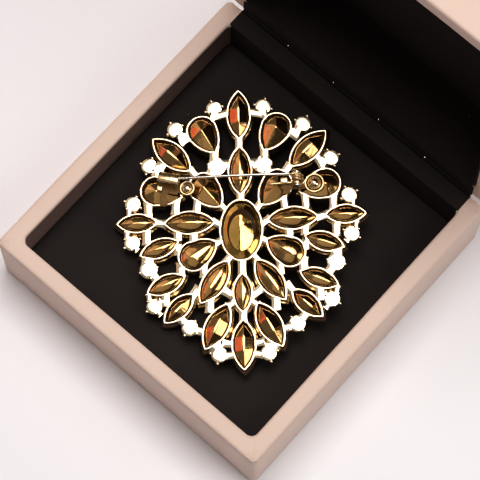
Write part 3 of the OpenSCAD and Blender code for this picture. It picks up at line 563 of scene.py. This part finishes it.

# Heights are in mm above the top of the rims. A cell's section runs from its seat up over the rim and down
# outside it to its foot; each row is the outline it follows, how far that is grown, and the height. The bands
# up the inside take painted shade.
RIM_W = 0.72
OPENWORK_H, SEAT_H = -1.15, -1.55
CASTING_H, OVAL_WALL_H = -2.95, -3.9
SHADED_ROWS = 3
bm = bmesh.new()
for name, cell, u, v, turn, side in PETALS:
    foot = OVAL_WALL_H if cell == "oval" else CASTING_H
    section = [
        (0, 0, SEAT_H), (0, 0, -0.55), (0, 0.03, -0.34), (0, 0.09, -0.14), (0, 0.18, -0.02), (0, 0.3, 0),
        (0, 0.52, -0.005), (0, 0.61, -0.05), (0, 0.68, -0.16), (0, RIM_W, -0.36), (0, RIM_W, OPENWORK_H),
        (1, 0.14, OPENWORK_H - 0.2), (1, 0.38, -1.9), (1, 0.45, -2.2), (1, 0.45, foot + 0.12),
        (1, 0.4, foot), (1, 0.1, foot), (1, 0.05, foot + 0.05), (1, 0.05, SEAT_H),
    ]
    faces = loft(bm, [[(x, y, h) for x, y in cell_edge(cell, layer, grow)] for layer, grow, h in section],
                 ring=True, to_world=brooch @ petal(u, v, turn, side))
    for face in faces[:SHADED_ROWS * AROUND]:
        face.material_index = 1
piece("casting_rims", bm, "box_and_brooch", [gold, recess_painted_shade], ["casting"], 60)


# Casting: bars, cups and posts
# Short flat bars join the rims, and small round cups with four prongs each stand round the edge and beside
# the upper petal. All of this is cast in one with the rims. Four low posts carry the pin's fittings.

# Two ends and the width of each bar; the first four lie on the axis, the others are mirrored
AXIS_BARS = [
    (0, 27, 0, 21.5, 1.9), (0, 10.8, 0, 7.6, 1.9), (0, -7.6, 0, -12.8, 1.95), (0, -21.4, 0, -25.3, 1.9),
]
SIDE_BARS = [
    (1.9, 32.8, 7.6, 31.5, 1.95), (13, 26.9, 16, 25, 2.4), (17.2, 28.6, 14.8, 26.2, 1.9),
    (20.7, 19.4, 22.6, 15.6, 2.15), (24.3, 18.8, 21.9, 17.7, 1.8), (24.7, 8.8, 24.7, 4.6, 2),
    (29.8, 7.3, 29.9, 4.6, 1), (30.4, 0.9, 30.5, -1.2, 1), (27.6, -4.4, 28.6, -3.4, 1),
    (25.2, 1, 25.2, -3, 2), (23.2, 3.2, 20, 2.5, 2), (17.1, 9.4, 17.5, 5, 1.9),
    (11.3, 9.2, 11.9, 5, 1.8), (12.7, 0.6, 12.7, -3, 2), (16.9, 0.8, 16.9, -2.2, 1.9),
    (17, -3.2, 17, -6.2, 1.6), (25, -5, 25, -8.6, 2.9), (24.3, -10.4, 22.4, -13, 2.2),
    (16.2, -8.2, 16.3, -12, 2.1), (10.1, -8.8, 10.2, -12.6, 1.75), (20.3, -15.6, 20.4, -20, 2),
    (24.9, -16.4, 24.6, -18.4, 1), (21.5, -18.2, 22.6, -19, 1), (21.6, -22.3, 22.6, -21.2, 1),
    (11.4, -15, 14.2, -18.5, 2.1), (8.7, -18, 8.8, -22.2, 2.1), (15, -25, 17, -23, 2),
    (13.4, -26.5, 9.6, -27.4, 2), (5.3, -16, 1.6, -18.6, 2.1), (1.6, -19.4, 4.2, -20.6, 1.6),
    (5.6, -30.4, 2.2, -30.9, 1.9), (6.5, -33.5, 7.9, -30.4, 3.2), (5, -33.9, 2, -33.6, 1.8),
    (5.8, 7.8, 3.4, 4.8, 1.7), (7.8, 2.9, 5.2, 1.4, 1.8), (7.4, -3.6, 4.5, -2.3, 1.8),
    (2.4, -6.1, 4.4, -8.8, 1.7), (6.8, 19, 6.7, 23.4, 2.2), (5, 18.1, 1.8, 18.2, 2.6),
    (7.2, 16.7, 8.7, 14.8, 2.4), (13.5, 17.6, 11.5, 15, 1.9),
]
# Place, turn of the prongs and radius of each cup of the right half, then place and radius of each post
CUPS = [
    (6.6, 33.9, 73, 2), (17.2, 28.6, 60, 2), (24.3, 18.8, 21, 2), (28.8, 8.4, 25, 2), (29.1, -2.3, 61, 2),
    (24.8, -9.8, 73, 2.3), (23.4, -19.8, 58, 2), (14.1, -26, 38, 2.1), (6.5, -33.5, 13, 2),
    (6.2, 17.7, 20, 2.4),
]
POSTS = [(-13.65, 13.16, 0.42), (-20.3, 7.85, 0.7), (12.4, 9.6, 0.65), (18.2, 13.1, 0.6)]
PRONG_REACH, PRONG_R = 2.36, 0.42
NECK = [(0.3, -1.1), (0.3, -0.3), (0.18, -0.12), (-0.18, -0.12), (-0.3, -0.3), (-0.3, -1.1)]
BAR_TOP, BAR_SPREAD, BAR_FLARE = -0.03, 0.12, 0.3


def bar(bm, u1, v1, u2, v2, width, side=1):
    """A flat bar with rounded upper edges that widens a little where it runs into the rims."""
    run = Vector((u2 - u1, v2 - v1, 0))
    along = petal(u1, v1, math.degrees(math.atan2(run.y, run.x)), side)
    loops = []
    for i in range(13):
        t = i / 12
        w = width / 2 + BAR_SPREAD + BAR_FLARE * abs(2 * t - 1) ** 3
        edge = [(w, OPENWORK_H), (w, BAR_TOP - 0.16), (w - 0.04, BAR_TOP - 0.05), (w - 0.13, BAR_TOP)]
        loops.append([(run.length * t, y, h) for y, h in edge + [(-y, h) for y, h in reversed(edge)]])
    loft(bm, loops, to_world=along)


openwork = bmesh.new()
for row in AXIS_BARS:
    bar(openwork, *row)
for side in (1, -1):
    for row in SIDE_BARS:
        bar(openwork, *row, side=side)
    for u, v, turn, back_r in CUPS:
        cup = petal(u, v, turn, side)
        turned(openwork, [
            (0, -0.02), (back_r * 0.5, -0.025), (back_r - 0.2, -0.035), (back_r + 0.02, -0.08),
            (back_r + 0.12, -0.2), (back_r + 0.16, -0.5), (back_r + 0.16, OPENWORK_H),
        ], cup, 28)
        for k in range(4):
            spoke = cup @ Matrix.Rotation(math.radians(90 * k), 4, "Z")
            turned(openwork, [
                (0, -0.02), (0.24, -0.04), (0.36, -0.12), (PRONG_R, -0.3), (PRONG_R, CASTING_H + 0.25),
                (0.28, CASTING_H + 0.05), (0, CASTING_H),
            ], spoke @ Matrix.Translation((PRONG_REACH, 0, 0)), 12)
            loft(openwork, [[(x, y, h) for y, h in NECK] for x in (1.2, 2.3)], to_world=spoke)
for u, v, r in POSTS:
    turned(openwork, [(0, -0.4), (r, -0.4), (r, 0.62), (0, 0.62)], petal(u, v, 0, 1), 20)

# The openings and the seats are cut through the bars, cups and prongs
cutter = bmesh.new()
for name, cell, u, v, turn, side in PETALS:
    at = petal(u, v, turn, side)
    loft(cutter, [[(x, y, h) for x, y in cell_edge(cell, 0, 0.12)] for h in (-1.4, 1.5)], to_world=at)
    loft(cutter, [[(x, y, h) for x, y in cell_edge(cell, 1, 0.12)] for h in (-4.5, -1.35)], to_world=at)
blank_bars, knife = solid("blank_bars", openwork), solid("knife", cutter)
cut = blank_bars.modifiers.new("cut", "BOOLEAN")
cut.operation = "DIFFERENCE"
cut.solver = "EXACT"
cut.object = knife
cut.use_self = True
bpy.context.view_layer.update()
bm = bmesh.new()
bm.from_object(blank_bars, bpy.context.evaluated_depsgraph_get())
bpy.data.objects.remove(blank_bars)
bpy.data.objects.remove(knife)
bm.transform(brooch)
piece("casting_bars_and_cups", bm, "box_and_brooch", [gold], ["casting"], 32)


# Petal stones
# Pressed amber glass with gold foil burnt on its back, so each is a little mirror: a keel along its length,
# and flanks that fall away to both sides. Its cut front, with a table, faces the pad. Half of the stones have
# crisp facets, and the others are softened all over.

# Gold foil under a thin clear lacquer: near mirror, uneven from the pressing, over waves of 1.6 mm
foil, tree, place = blank("gold_foil_lacquered")
press = add(tree, "ShaderNodeTexNoise", {"Scale": 1000 / 1.6, "Detail": 2.0}, {"Vector": place})
tint = add(tree, "ShaderNodeMix", {6: linear("#d09c58"), 7: linear("#e6bb7c")}, {0: press}, data_type="RGBA")
dent = add(tree, "ShaderNodeBump", {"Strength": 0.6, "Distance": 0.08 * MM}, {"Height": press})
shader = add(tree, "ShaderNodeBsdfPrincipled",
             {"Metallic": 1.0, "Roughness": 0.11, "Coat Weight": 0.1, "Coat Roughness": 0.03},
             {"Base Color": tint.outputs[2], "Normal": dent})
add(tree, "ShaderNodeOutputMaterial", None, {"Surface": shader})

# Amber pressed glass, fire-polished, with streaks 4 mm wide: it shows only at the cut front, over its foil
amber, tree, place = blank("amber_glass_polished")
streak = add(tree, "ShaderNodeTexNoise", {"Scale": 1000 / 4, "Detail": 2.0}, {"Vector": place})
tint = add(tree, "ShaderNodeMix", {6: linear("#8a4d10"), 7: linear("#c98325")}, {0: streak}, data_type="RGBA")
shader = add(tree, "ShaderNodeBsdfPrincipled",
             {"Roughness": 0.04, "IOR": 1.52, "Coat Weight": 1.0, "Coat Roughness": 0.02, "Metallic": 0.35},
             {"Base Color": tint.outputs[2]})
add(tree, "ShaderNodeOutputMaterial", None, {"Surface": shader})

# Play in the opening, heights from the back's edge down to the table, and the table's size as a share of the
# stone's; a pear's table lies a little toward its tip
STONE_PLAY = 0.08
EDGE_H, SHOULDER_H = -0.6, -1.6
GIRDLE_H, GIRDLE_T, TABLE_H, TABLE_SCALE = -2.1, 0.3, -4.2, 0.58
PEAR_CENTRE = 1.0
# How far the keels stand above the rims: kept low under the pin's fittings
KEEL_H, SMALL_KEEL_H, LOW_KEEL_H = 0.6, 0.3, 0.1
CRISP = ("top", "crest", "shoulder", "flank", "heart", "foot", "bottom", "corner")
UNDER_FITTINGS = ("flank", "heart")
# The facets that fan round a pear's end: the way each faces, in degrees from the tip, and how steep it is
PEAR_FAN = ((62, 1.1), (112, 1.22), (158, 1.0))
FACETS = 16


def soft_least(values, blend):
    """The least of some heights, with the edges between them rounded over about blend."""
    low = min(values)
    return low - blend * math.log(sum(math.exp((low - value) / blend) for value in values))


def crisp_back(cell, keel_h, x, y):
    """Height of a faceted back: two long flanks and hipped ends, or flanks and a fan round a pear's end.

    The ridge is rounded over about 0.1 mm, and the whole back bows a little.
    """
    length, width = (size - STONE_PLAY for size in CELLS[cell][0])
    rise = max(keel_h - EDGE_H, 1.1)
    ridge = math.sqrt(y * y + 0.006) - 0.077
    if cell == "pear":
        falls = [s * (x * math.cos(math.radians(a)) + ridge * math.sin(math.radians(a))) for a, s in PEAR_FAN]
        return soft_least([keel_h - rise / length * fall for fall in falls], 0.02) - 0.008 * (x * x + y * y)
    flank = keel_h - rise / width * ridge
    hip = flank - rise * 0.9 / (0.7 * length) * (abs(x) - 0.3 * length)
    crest = keel_h - 0.08 - 0.018 * x
    return soft_least([flank, hip, crest], 0.01) - 0.008 * x * x


def soft_back(cell, keel_h, x, y, half_width):
    """Height of a smooth back: a rounded keel that sinks toward the ends."""
    length, width = (size - STONE_PLAY for size in CELLS[cell][0])
    along = x / (width if cell == "pear" and x > 0 else length)
    crown = (keel_h - EDGE_H) * (1 - 0.9 * abs(along) ** 2.4)
    across = abs(y) / max(half_width, 0.01)
    ridge = (math.sqrt(across * across + 0.002) - 0.045) / 0.956
    return EDGE_H + crown * (1 - 0.35 * ridge - 0.4 * across ** 2 - 0.25 * across ** 6)


def faceted(cell):
    """A stone's outline with its AROUND points drawn in onto a polygon of FACETS sides."""
    loop = cell_edge(cell, 1, 0)
    step = AROUND // FACETS
    out = []
    for i in range(AROUND):
        a, b = loop[i // step * step], loop[(i // step + 1) * step % AROUND]
        t = i % step / step
        out.append((a[0] + (b[0] - a[0]) * t, a[1] + (b[1] - a[1]) * t))
    return out


def shrunk(loop, scale, centre=0.0):
    """A loop made smaller about a point on its long axis."""
    return [(centre + (x - centre) * scale, y * scale) for x, y in loop]


def skin(bm, before, after, finish):
    """The band of faces between two loops of points."""
    for i in range(AROUND):
        j = (i + 1) % AROUND
        bm.faces.new((before[i], before[j], after[j], after[i])).material_index = finish


def cut_front(bm, before, levels, at):
    """Carries a stone's edge down through levels of (loop, height, finish), and closes it with its table."""
    for loop, h, finish in levels:
        after = [bm.verts.new(at @ Vector((x, y, h))) for x, y in loop]
        skin(bm, before, after, finish)
        before = after
    bm.faces.new(before).material_index = 1


def pressed_stone(bm, cell, keel_h, crisp, at):
    """One stone: its back over a fine grid, its shoulder and girdle, then a cut crown and a table."""
    edge = cell_edge(cell, 0, -STONE_PLAY)
    half, rows = AROUND // 2, 12
    grid = []
    for x, reach in edge[:half + 1]:
        column = []
        for j in range(-rows, rows + 1):
            y = reach * math.copysign((abs(j) / rows) ** 1.4, j)
            z = crisp_back(cell, keel_h, x, y) if crisp else soft_back(cell, keel_h, x, y, reach)
            column.append(bm.verts.new(at @ Vector((x, y, z))))
        grid.append(column)
    # The outermost rows of each back, and the shoulder band below them, take the painted shade of the recess
    # by the rim
    for left, right in zip(grid, grid[1:]):
        for j in range(2 * rows):
            face = bm.faces.new((left[j], left[j + 1], right[j + 1], right[j]))
            face.material_index = 2 if j in (0, 2 * rows - 1) else 0
    rim = [column[2 * rows] for column in grid] + [column[0] for column in grid[half - 1:0:-1]]
    waist = faceted(cell)
    table = shrunk(waist, TABLE_SCALE, PEAR_CENTRE if cell == "pear" else 0.0)
    cut_front(bm, rim, [(edge, SHOULDER_H, 2), (waist, GIRDLE_H, 0), (waist, GIRDLE_H - GIRDLE_T, 1),
                        (table, TABLE_H, 1)], at)
    bmesh.ops.remove_doubles(bm, verts=bm.verts, dist=0.001 * MM)


for name, cell, u, v, turn, side in PETALS:
    kind = name.split("_")[0]
    keel_h = LOW_KEEL_H if kind in UNDER_FITTINGS else SMALL_KEEL_H if cell == "small" else KEEL_H
    if cell != "oval":
        bm = bmesh.new()
        pressed_stone(bm, cell, keel_h, kind in CRISP, brooch @ petal(u, v, turn, side))
        piece(name + "_glass", bm, "box_and_brooch", [foil, amber, recess_painted_shade], [name], 20)


# Centre stone
# The oval in the middle is pressed as a dome with a ridge along its length and a lower border round it, with
# painted shade in the crease between them. Its thick cut front stands proud of the casting, toward the pad.
OVAL_APEX, OVAL_EDGE, OVAL_GIRDLE, OVAL_TABLE = 0.5, -0.95, -3.4, -6.45
# Where the border begins, as a share of the opening, and where the ridge lies, as a share of its half width
OVAL_STEP, RIDGE_AT = 0.73, -0.04
# How steeply the dome falls to the left of its ridge, to the right, toward its top and toward its foot
FALL_LEFT, FALL_RIGHT, FALL_TOP, FALL_FOOT = 0.72, 1.18, 0.3, 0.35


def oval_reach(up):
    """How far the dome reaches, as a share of the opening; up runs from -1 at its foot to 1 at its top."""
    return 0.62 - 0.1 * up


def oval_height(x, y):
    """Height of the back at a place given as shares of the opening's half width and half length.

    The ridge is sharp on its left, and on its right it is blunter toward the foot. The border stands higher
    at the foot and on the right, and the whole back is uneven by a few hundredths of a millimetre.
    """
    out = max(math.sqrt(x * x + y * y), 1e-6)
    low = max(0.0, -y / out) ** 2
    reach = oval_reach(y / out)
    inside = min(1.0, reach / out)
    x, y = x * inside, y * inside
    off = x - RIDGE_AT
    blunt = 0.03 if off < 0 else 1.44 * min(0.6, max(0.06, 0.2 - 0.75 * y))
    across = (FALL_LEFT if off < 0 else FALL_RIGHT) * (math.sqrt(off * off + blunt * blunt) - blunt)
    dome = 1 - across - FALL_TOP * max(0.0, y - 0.25) - FALL_FOOT * max(0.0, 0.1 - y)
    border = 0.5 + 0.47 * low + 0.3 * max(0.0, x / out)
    if out > OVAL_STEP:
        dome *= border * (1 - out) / (1 - OVAL_STEP)
    elif out > reach:
        dome *= 1 + (border - 1) * (out - reach) / (OVAL_STEP - reach)
    return OVAL_EDGE + (OVAL_APEX - OVAL_EDGE) * dome + 0.03 * noise.noise(Vector((2.2 * x, 3.2 * y, 0.5)))


# The same gold foil seen through deeper amber lacquer: a little greener, with the same waves of 1.6 mm
deep_foil = foil.copy()
deep_foil.name = "gold_foil_amber_lacquer"
deep_tint = next(node for node in deep_foil.node_tree.nodes if node.bl_idname == "ShaderNodeMix")
deep_tint.inputs[6].default_value = linear("#c8923c")
deep_tint.inputs[7].default_value = linear("#e6be6e")

# The dome, the crease and the border are skinned in 12, 3 and 5 rings
half_w, half_l = CELLS["oval"][0]
rings = [(band, i / count) for band, count in enumerate((12, 3, 5)) for i in range(1, count + 1)]
bm = bmesh.new()
apex = bm.verts.new(brooch @ Vector((0, 0, oval_height(0, 0))))
before = None
for band, t in rings:
    after = []
    for x, y in cell_edge("oval", 0, -STONE_PLAY):
        stops = (0, oval_reach(y / half_l), OVAL_STEP, 1)
        share = stops[band] + (stops[band + 1] - stops[band]) * t
        h = oval_height(x * share / half_w, y * share / half_l)
        after.append(bm.verts.new(brooch @ Vector((x * share, y * share, h))))
    if before:
        skin(bm, before, after, 2 if band == 1 else 0)
    else:
        for i in range(AROUND):
            bm.faces.new((apex, after[i], after[(i + 1) % AROUND]))
    before = after
waist = faceted("oval")
cut_front(bm, before, [
    (cell_edge("oval", 0, -STONE_PLAY), SHOULDER_H, 0), (waist, OVAL_GIRDLE, 0),
    (waist, OVAL_GIRDLE - GIRDLE_T, 1), (shrunk(waist, 0.82), OVAL_GIRDLE - 1.2, 1),
    (shrunk(waist, 0.56), OVAL_TABLE, 1),
], brooch)
finishes = [deep_foil, amber, recess_painted_shade]
piece("centre_oval_glass", bm, "box_and_brooch", finishes, ["centre_oval"], 20)


# Round stones
# Twenty small round crystals, each pointed at the back and glued into its cup, with four prongs closed over
# it. They face the pad, so only their edges can be seen, from low down. Each has a thin gilt collet.

# Clear glass with silver foil behind it: bright, with painted sparks about 1.1 mm wide in its colour
crystal, tree, place = blank("clear_glass_foiled")
spark = add(tree, "ShaderNodeTexVoronoi", {"Scale": 1000 / 1.1}, {"Vector": place})
tint = add(tree, "ShaderNodeMix", {6: linear("#cfc8bd"), 7: linear("#fbf7ef")}, {0: spark}, data_type="RGBA")
shader = add(tree, "ShaderNodeBsdfPrincipled",
             {"Roughness": 0.03, "IOR": 1.54, "Metallic": 0.6, "Coat Weight": 1.0},
             {"Base Color": tint.outputs[2]})
add(tree, "ShaderNodeOutputMaterial", None, {"Surface": shader})

bm = bmesh.new()
for side in (1, -1):
    for u, v, turn, back_r in CUPS:
        at = brooch @ petal(u, v, turn, side)
        turned(bm, [(0, -1.25), (1.88, -2.3), (1.88, -2.45), (1.1, -3.1)], at, 16)
        turned(bm, [(1.62, -1.2), (1.9, -1.2), (1.98, -1.9), (1.94, -2.05), (1.62, -2.05)], at, ring=True,
               finish=1)
piece("round_stones_in_collets", bm, "box_and_brooch", [crystal, gold], ["round_stones"], 12)


# Catch
# Stamped from gold-plated sheet: a strip rolled into an open hook that the pin's point slips under, with a
# raised ring at one end where a dome-headed rivet holds it to its post. Its edges are tumbled soft.

# Bright gold dip on stamped brass: yellower than the casting, and rubbed duller in patches of 1 mm
brass, tree, place = blank("gold_dip_on_brass")
wear = add(tree, "ShaderNodeTexNoise", {"Scale": 1000 / 1.0, "Detail": 3.0}, {"Vector": place})
rub = add(tree, "ShaderNodeMapRange", {"To Min": 0.2, "To Max": 0.36}, {"Value": wear})
dip = add(tree, "ShaderNodeMix", {6: linear("#cba56c"), 7: linear("#efd7ab")}, {0: wear}, data_type="RGBA")
shader = add(tree, "ShaderNodeBsdfPrincipled", {"Metallic": 1.0},
             {"Base Color": dip.outputs[2], "Roughness": rub})
add(tree, "ShaderNodeOutputMaterial", None, {"Surface": shader})

# Painted shade for the flats of the strips: the brass is coloured brown and almost matt
brass_painted_shade, tree, place = blank("brass_flats_painted_shade")
cloud = add(tree, "ShaderNodeTexNoise", {"Scale": 1000 / 0.9, "Detail": 3.0}, {"Vector": place})
brown = add(tree, "ShaderNodeMix", {6: linear("#4a3016"), 7: linear("#8a642f")}, {0: cloud}, data_type="RGBA")
shader = add(tree, "ShaderNodeBsdfPrincipled", {"Roughness": 0.6, "Specular IOR Level": 0.2},
             {"Base Color": brown.outputs[2]})
add(tree, "ShaderNodeOutputMaterial", None, {"Surface": shader})

# Heights of the strips' flats and of the ring pads, and how far a pad is let down under its rounded lip
STRIP_TOP, RING_H, LIP = 1.3, 1.7, 0.3
RING_SIDES, GROOVE_ROW = 40, 6


def tumbled(name, node, soft, finish, ring=None):
    """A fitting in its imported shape, with its sharp edges rounded by soft, in mm.

    ring gives u, v, the outer radius and the well's radius of a ring pad, whose raised edge is turned round.
    """
    to_brooch = brooch.inverted()
    bm = bmesh.new()
    bm.from_mesh(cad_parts[node].data)
    for vert in bm.verts:
        at = to_brooch @ vert.co
        if ring and math.hypot(at.x - ring[0], at.y - ring[1]) < ring[2] + 0.1 and at.z > RING_H - 0.1:
            vert.co = brooch @ (at - Vector((0, 0, LIP)))
    bmesh.ops.remove_doubles(bm, verts=bm.verts, dist=0.002 * MM)
    bmesh.ops.dissolve_limit(bm, angle_limit=math.radians(2), verts=bm.verts, edges=bm.edges)
    sharp = [e for e in bm.edges if len(e.link_faces) == 2 and e.calc_face_angle() > math.radians(38)]
    bmesh.ops.bevel(bm, geom=sharp, offset=soft * MM, segments=2, profile=0.6, affect="EDGES",
                    clamp_overlap=True)
    if not ring:
        return piece(name, bm, "box_and_brooch", [finish], [node], 40)
    # The strips' flats take the brown painted shade
    for face in bm.faces:
        if abs((to_brooch @ face.calc_center_median()).z - STRIP_TOP) < 0.02:
            face.material_index = 2
    u, v, outer, well = ring
    inner = max(well, outer - 0.8)
    section = [(outer, -0.4), (outer, -0.14), (outer - 0.07, -0.02), (outer - 0.16, 0), (outer - 0.34, 0),
               (outer - 0.42, -0.04), (outer - 0.47, -0.28), (inner, -0.28), (inner - 0.02, -0.12),
               (well + 0.05, -0.08), (well, -0.18), (well, -0.4)]
    at = brooch @ petal(u, v, 0, 1)
    faces = turned(bm, [(r, RING_H + h) for r, h in section], at, RING_SIDES, ring=True)
    # The ring's groove takes painted shade
    for face in faces[GROOVE_ROW * RING_SIDES:(GROOVE_ROW + 1) * RING_SIDES]:
        face.material_index = 1
    return piece(name, bm, "box_and_brooch", [finish, recess_painted_shade, brass_painted_shade], [node], 40)


tumbled("catch_hook", "catch", 0.18, brass, ring=(-14, 11.7, 2, 1.35))
tumbled("catch_rivet_dome", "catch_rivet", 0.06, gold)


# Pin hinge
# The other fitting: a stamped strip with the same riveted ring, an ear that holds the short axle of the
# pin's coil, and a folded clip over the coil's tail. The round-headed axle is bare steel.
tumbled("hinge_bracket_strip", "hinge_bracket", 0.1, brass, ring=(19.8, 11.5, 2.6, 1.5))
tumbled("hinge_rivet_dome", "hinge_rivet", 0.06, gold)
tumbled("coil_axle_rivet", "coil_axle", 0.1, steel)


# Pin
# One length of hard steel wire, 0.8 mm thick: a straight tail under the clip and a close coil round the axle,
# both gold dipped with the bracket, and the bright stem, drawn to a point. Only the stem swings.
COIL_U, COIL_H, COIL_R, WIRE_R = 15.4, 2.9, 1.2, 0.4
COIL_START, COIL_END = 11.88, 13.6
PIVOT, TIP = Vector((13.5, 13.5, 4.07)), Vector((-20.3, 13.8, 3.25))
TAIL_END = Vector((7.3, 11.55, 1.78))
WIRE_SIDES = 14
# How far the stem bows up in its middle, and how long its point is
ARCH, POINT = 0.55, 3.2


def wire(bm, path, radii):
    """A round wire along path, in the brooch's mm, with its own radius at each point."""
    across = Vector((0, 1, 0))
    turns = [2 * math.pi * k / WIRE_SIDES for k in range(WIRE_SIDES)]
    loops = []
    for i, (point, r) in enumerate(zip(path, radii)):
        ahead = (path[min(i + 1, len(path) - 1)] - path[max(i - 1, 0)]).normalized()
        across = (across - ahead * across.dot(ahead)).normalized()
        other = ahead.cross(across)
        loops.append([point + (across * math.cos(t) + other * math.sin(t)) * r for t in turns])
    loft(bm, loops, to_world=brooch)


coil = []
for i in range(91):
    a = math.radians(10 * i - 90)
    coil.append(Vector((COIL_U + COIL_R * math.cos(a), COIL_START + (COIL_END - COIL_START) * i / 90,
                        COIL_H + COIL_R * math.sin(a))))
tail = [TAIL_END.lerp(coil[0], i / 12) for i in range(12)]
arm = [coil[-1].lerp(PIVOT, i / 4) for i in range(1, 4)]
path = tail + coil + arm
bm = bmesh.new()
wire(bm, path, [0.22, 0.36] + [WIRE_R] * (len(path) - 2))
piece("spring_coil_and_tail", bm, "box_and_brooch", [brass], ["coil_spring"])

run = TIP - PIVOT
path = [PIVOT - run.normalized() * 0.3]
radii = [0.2]
for i in range(49):
    t = i / 48
    path.append(PIVOT + run * t + Vector((0, 0.08, ARCH)) * 4 * t * (1 - t))
    taper = max(0.0, (t * run.length - (run.length - POINT)) / POINT)
    radii.append((WIRE_R - 0.005) * (1 - taper) + 0.07 * taper)
bm = bmesh.new()
wire(bm, path, radii)
piece("pin_stem_wire", bm, "pin", [steel], ["pin_stem"])
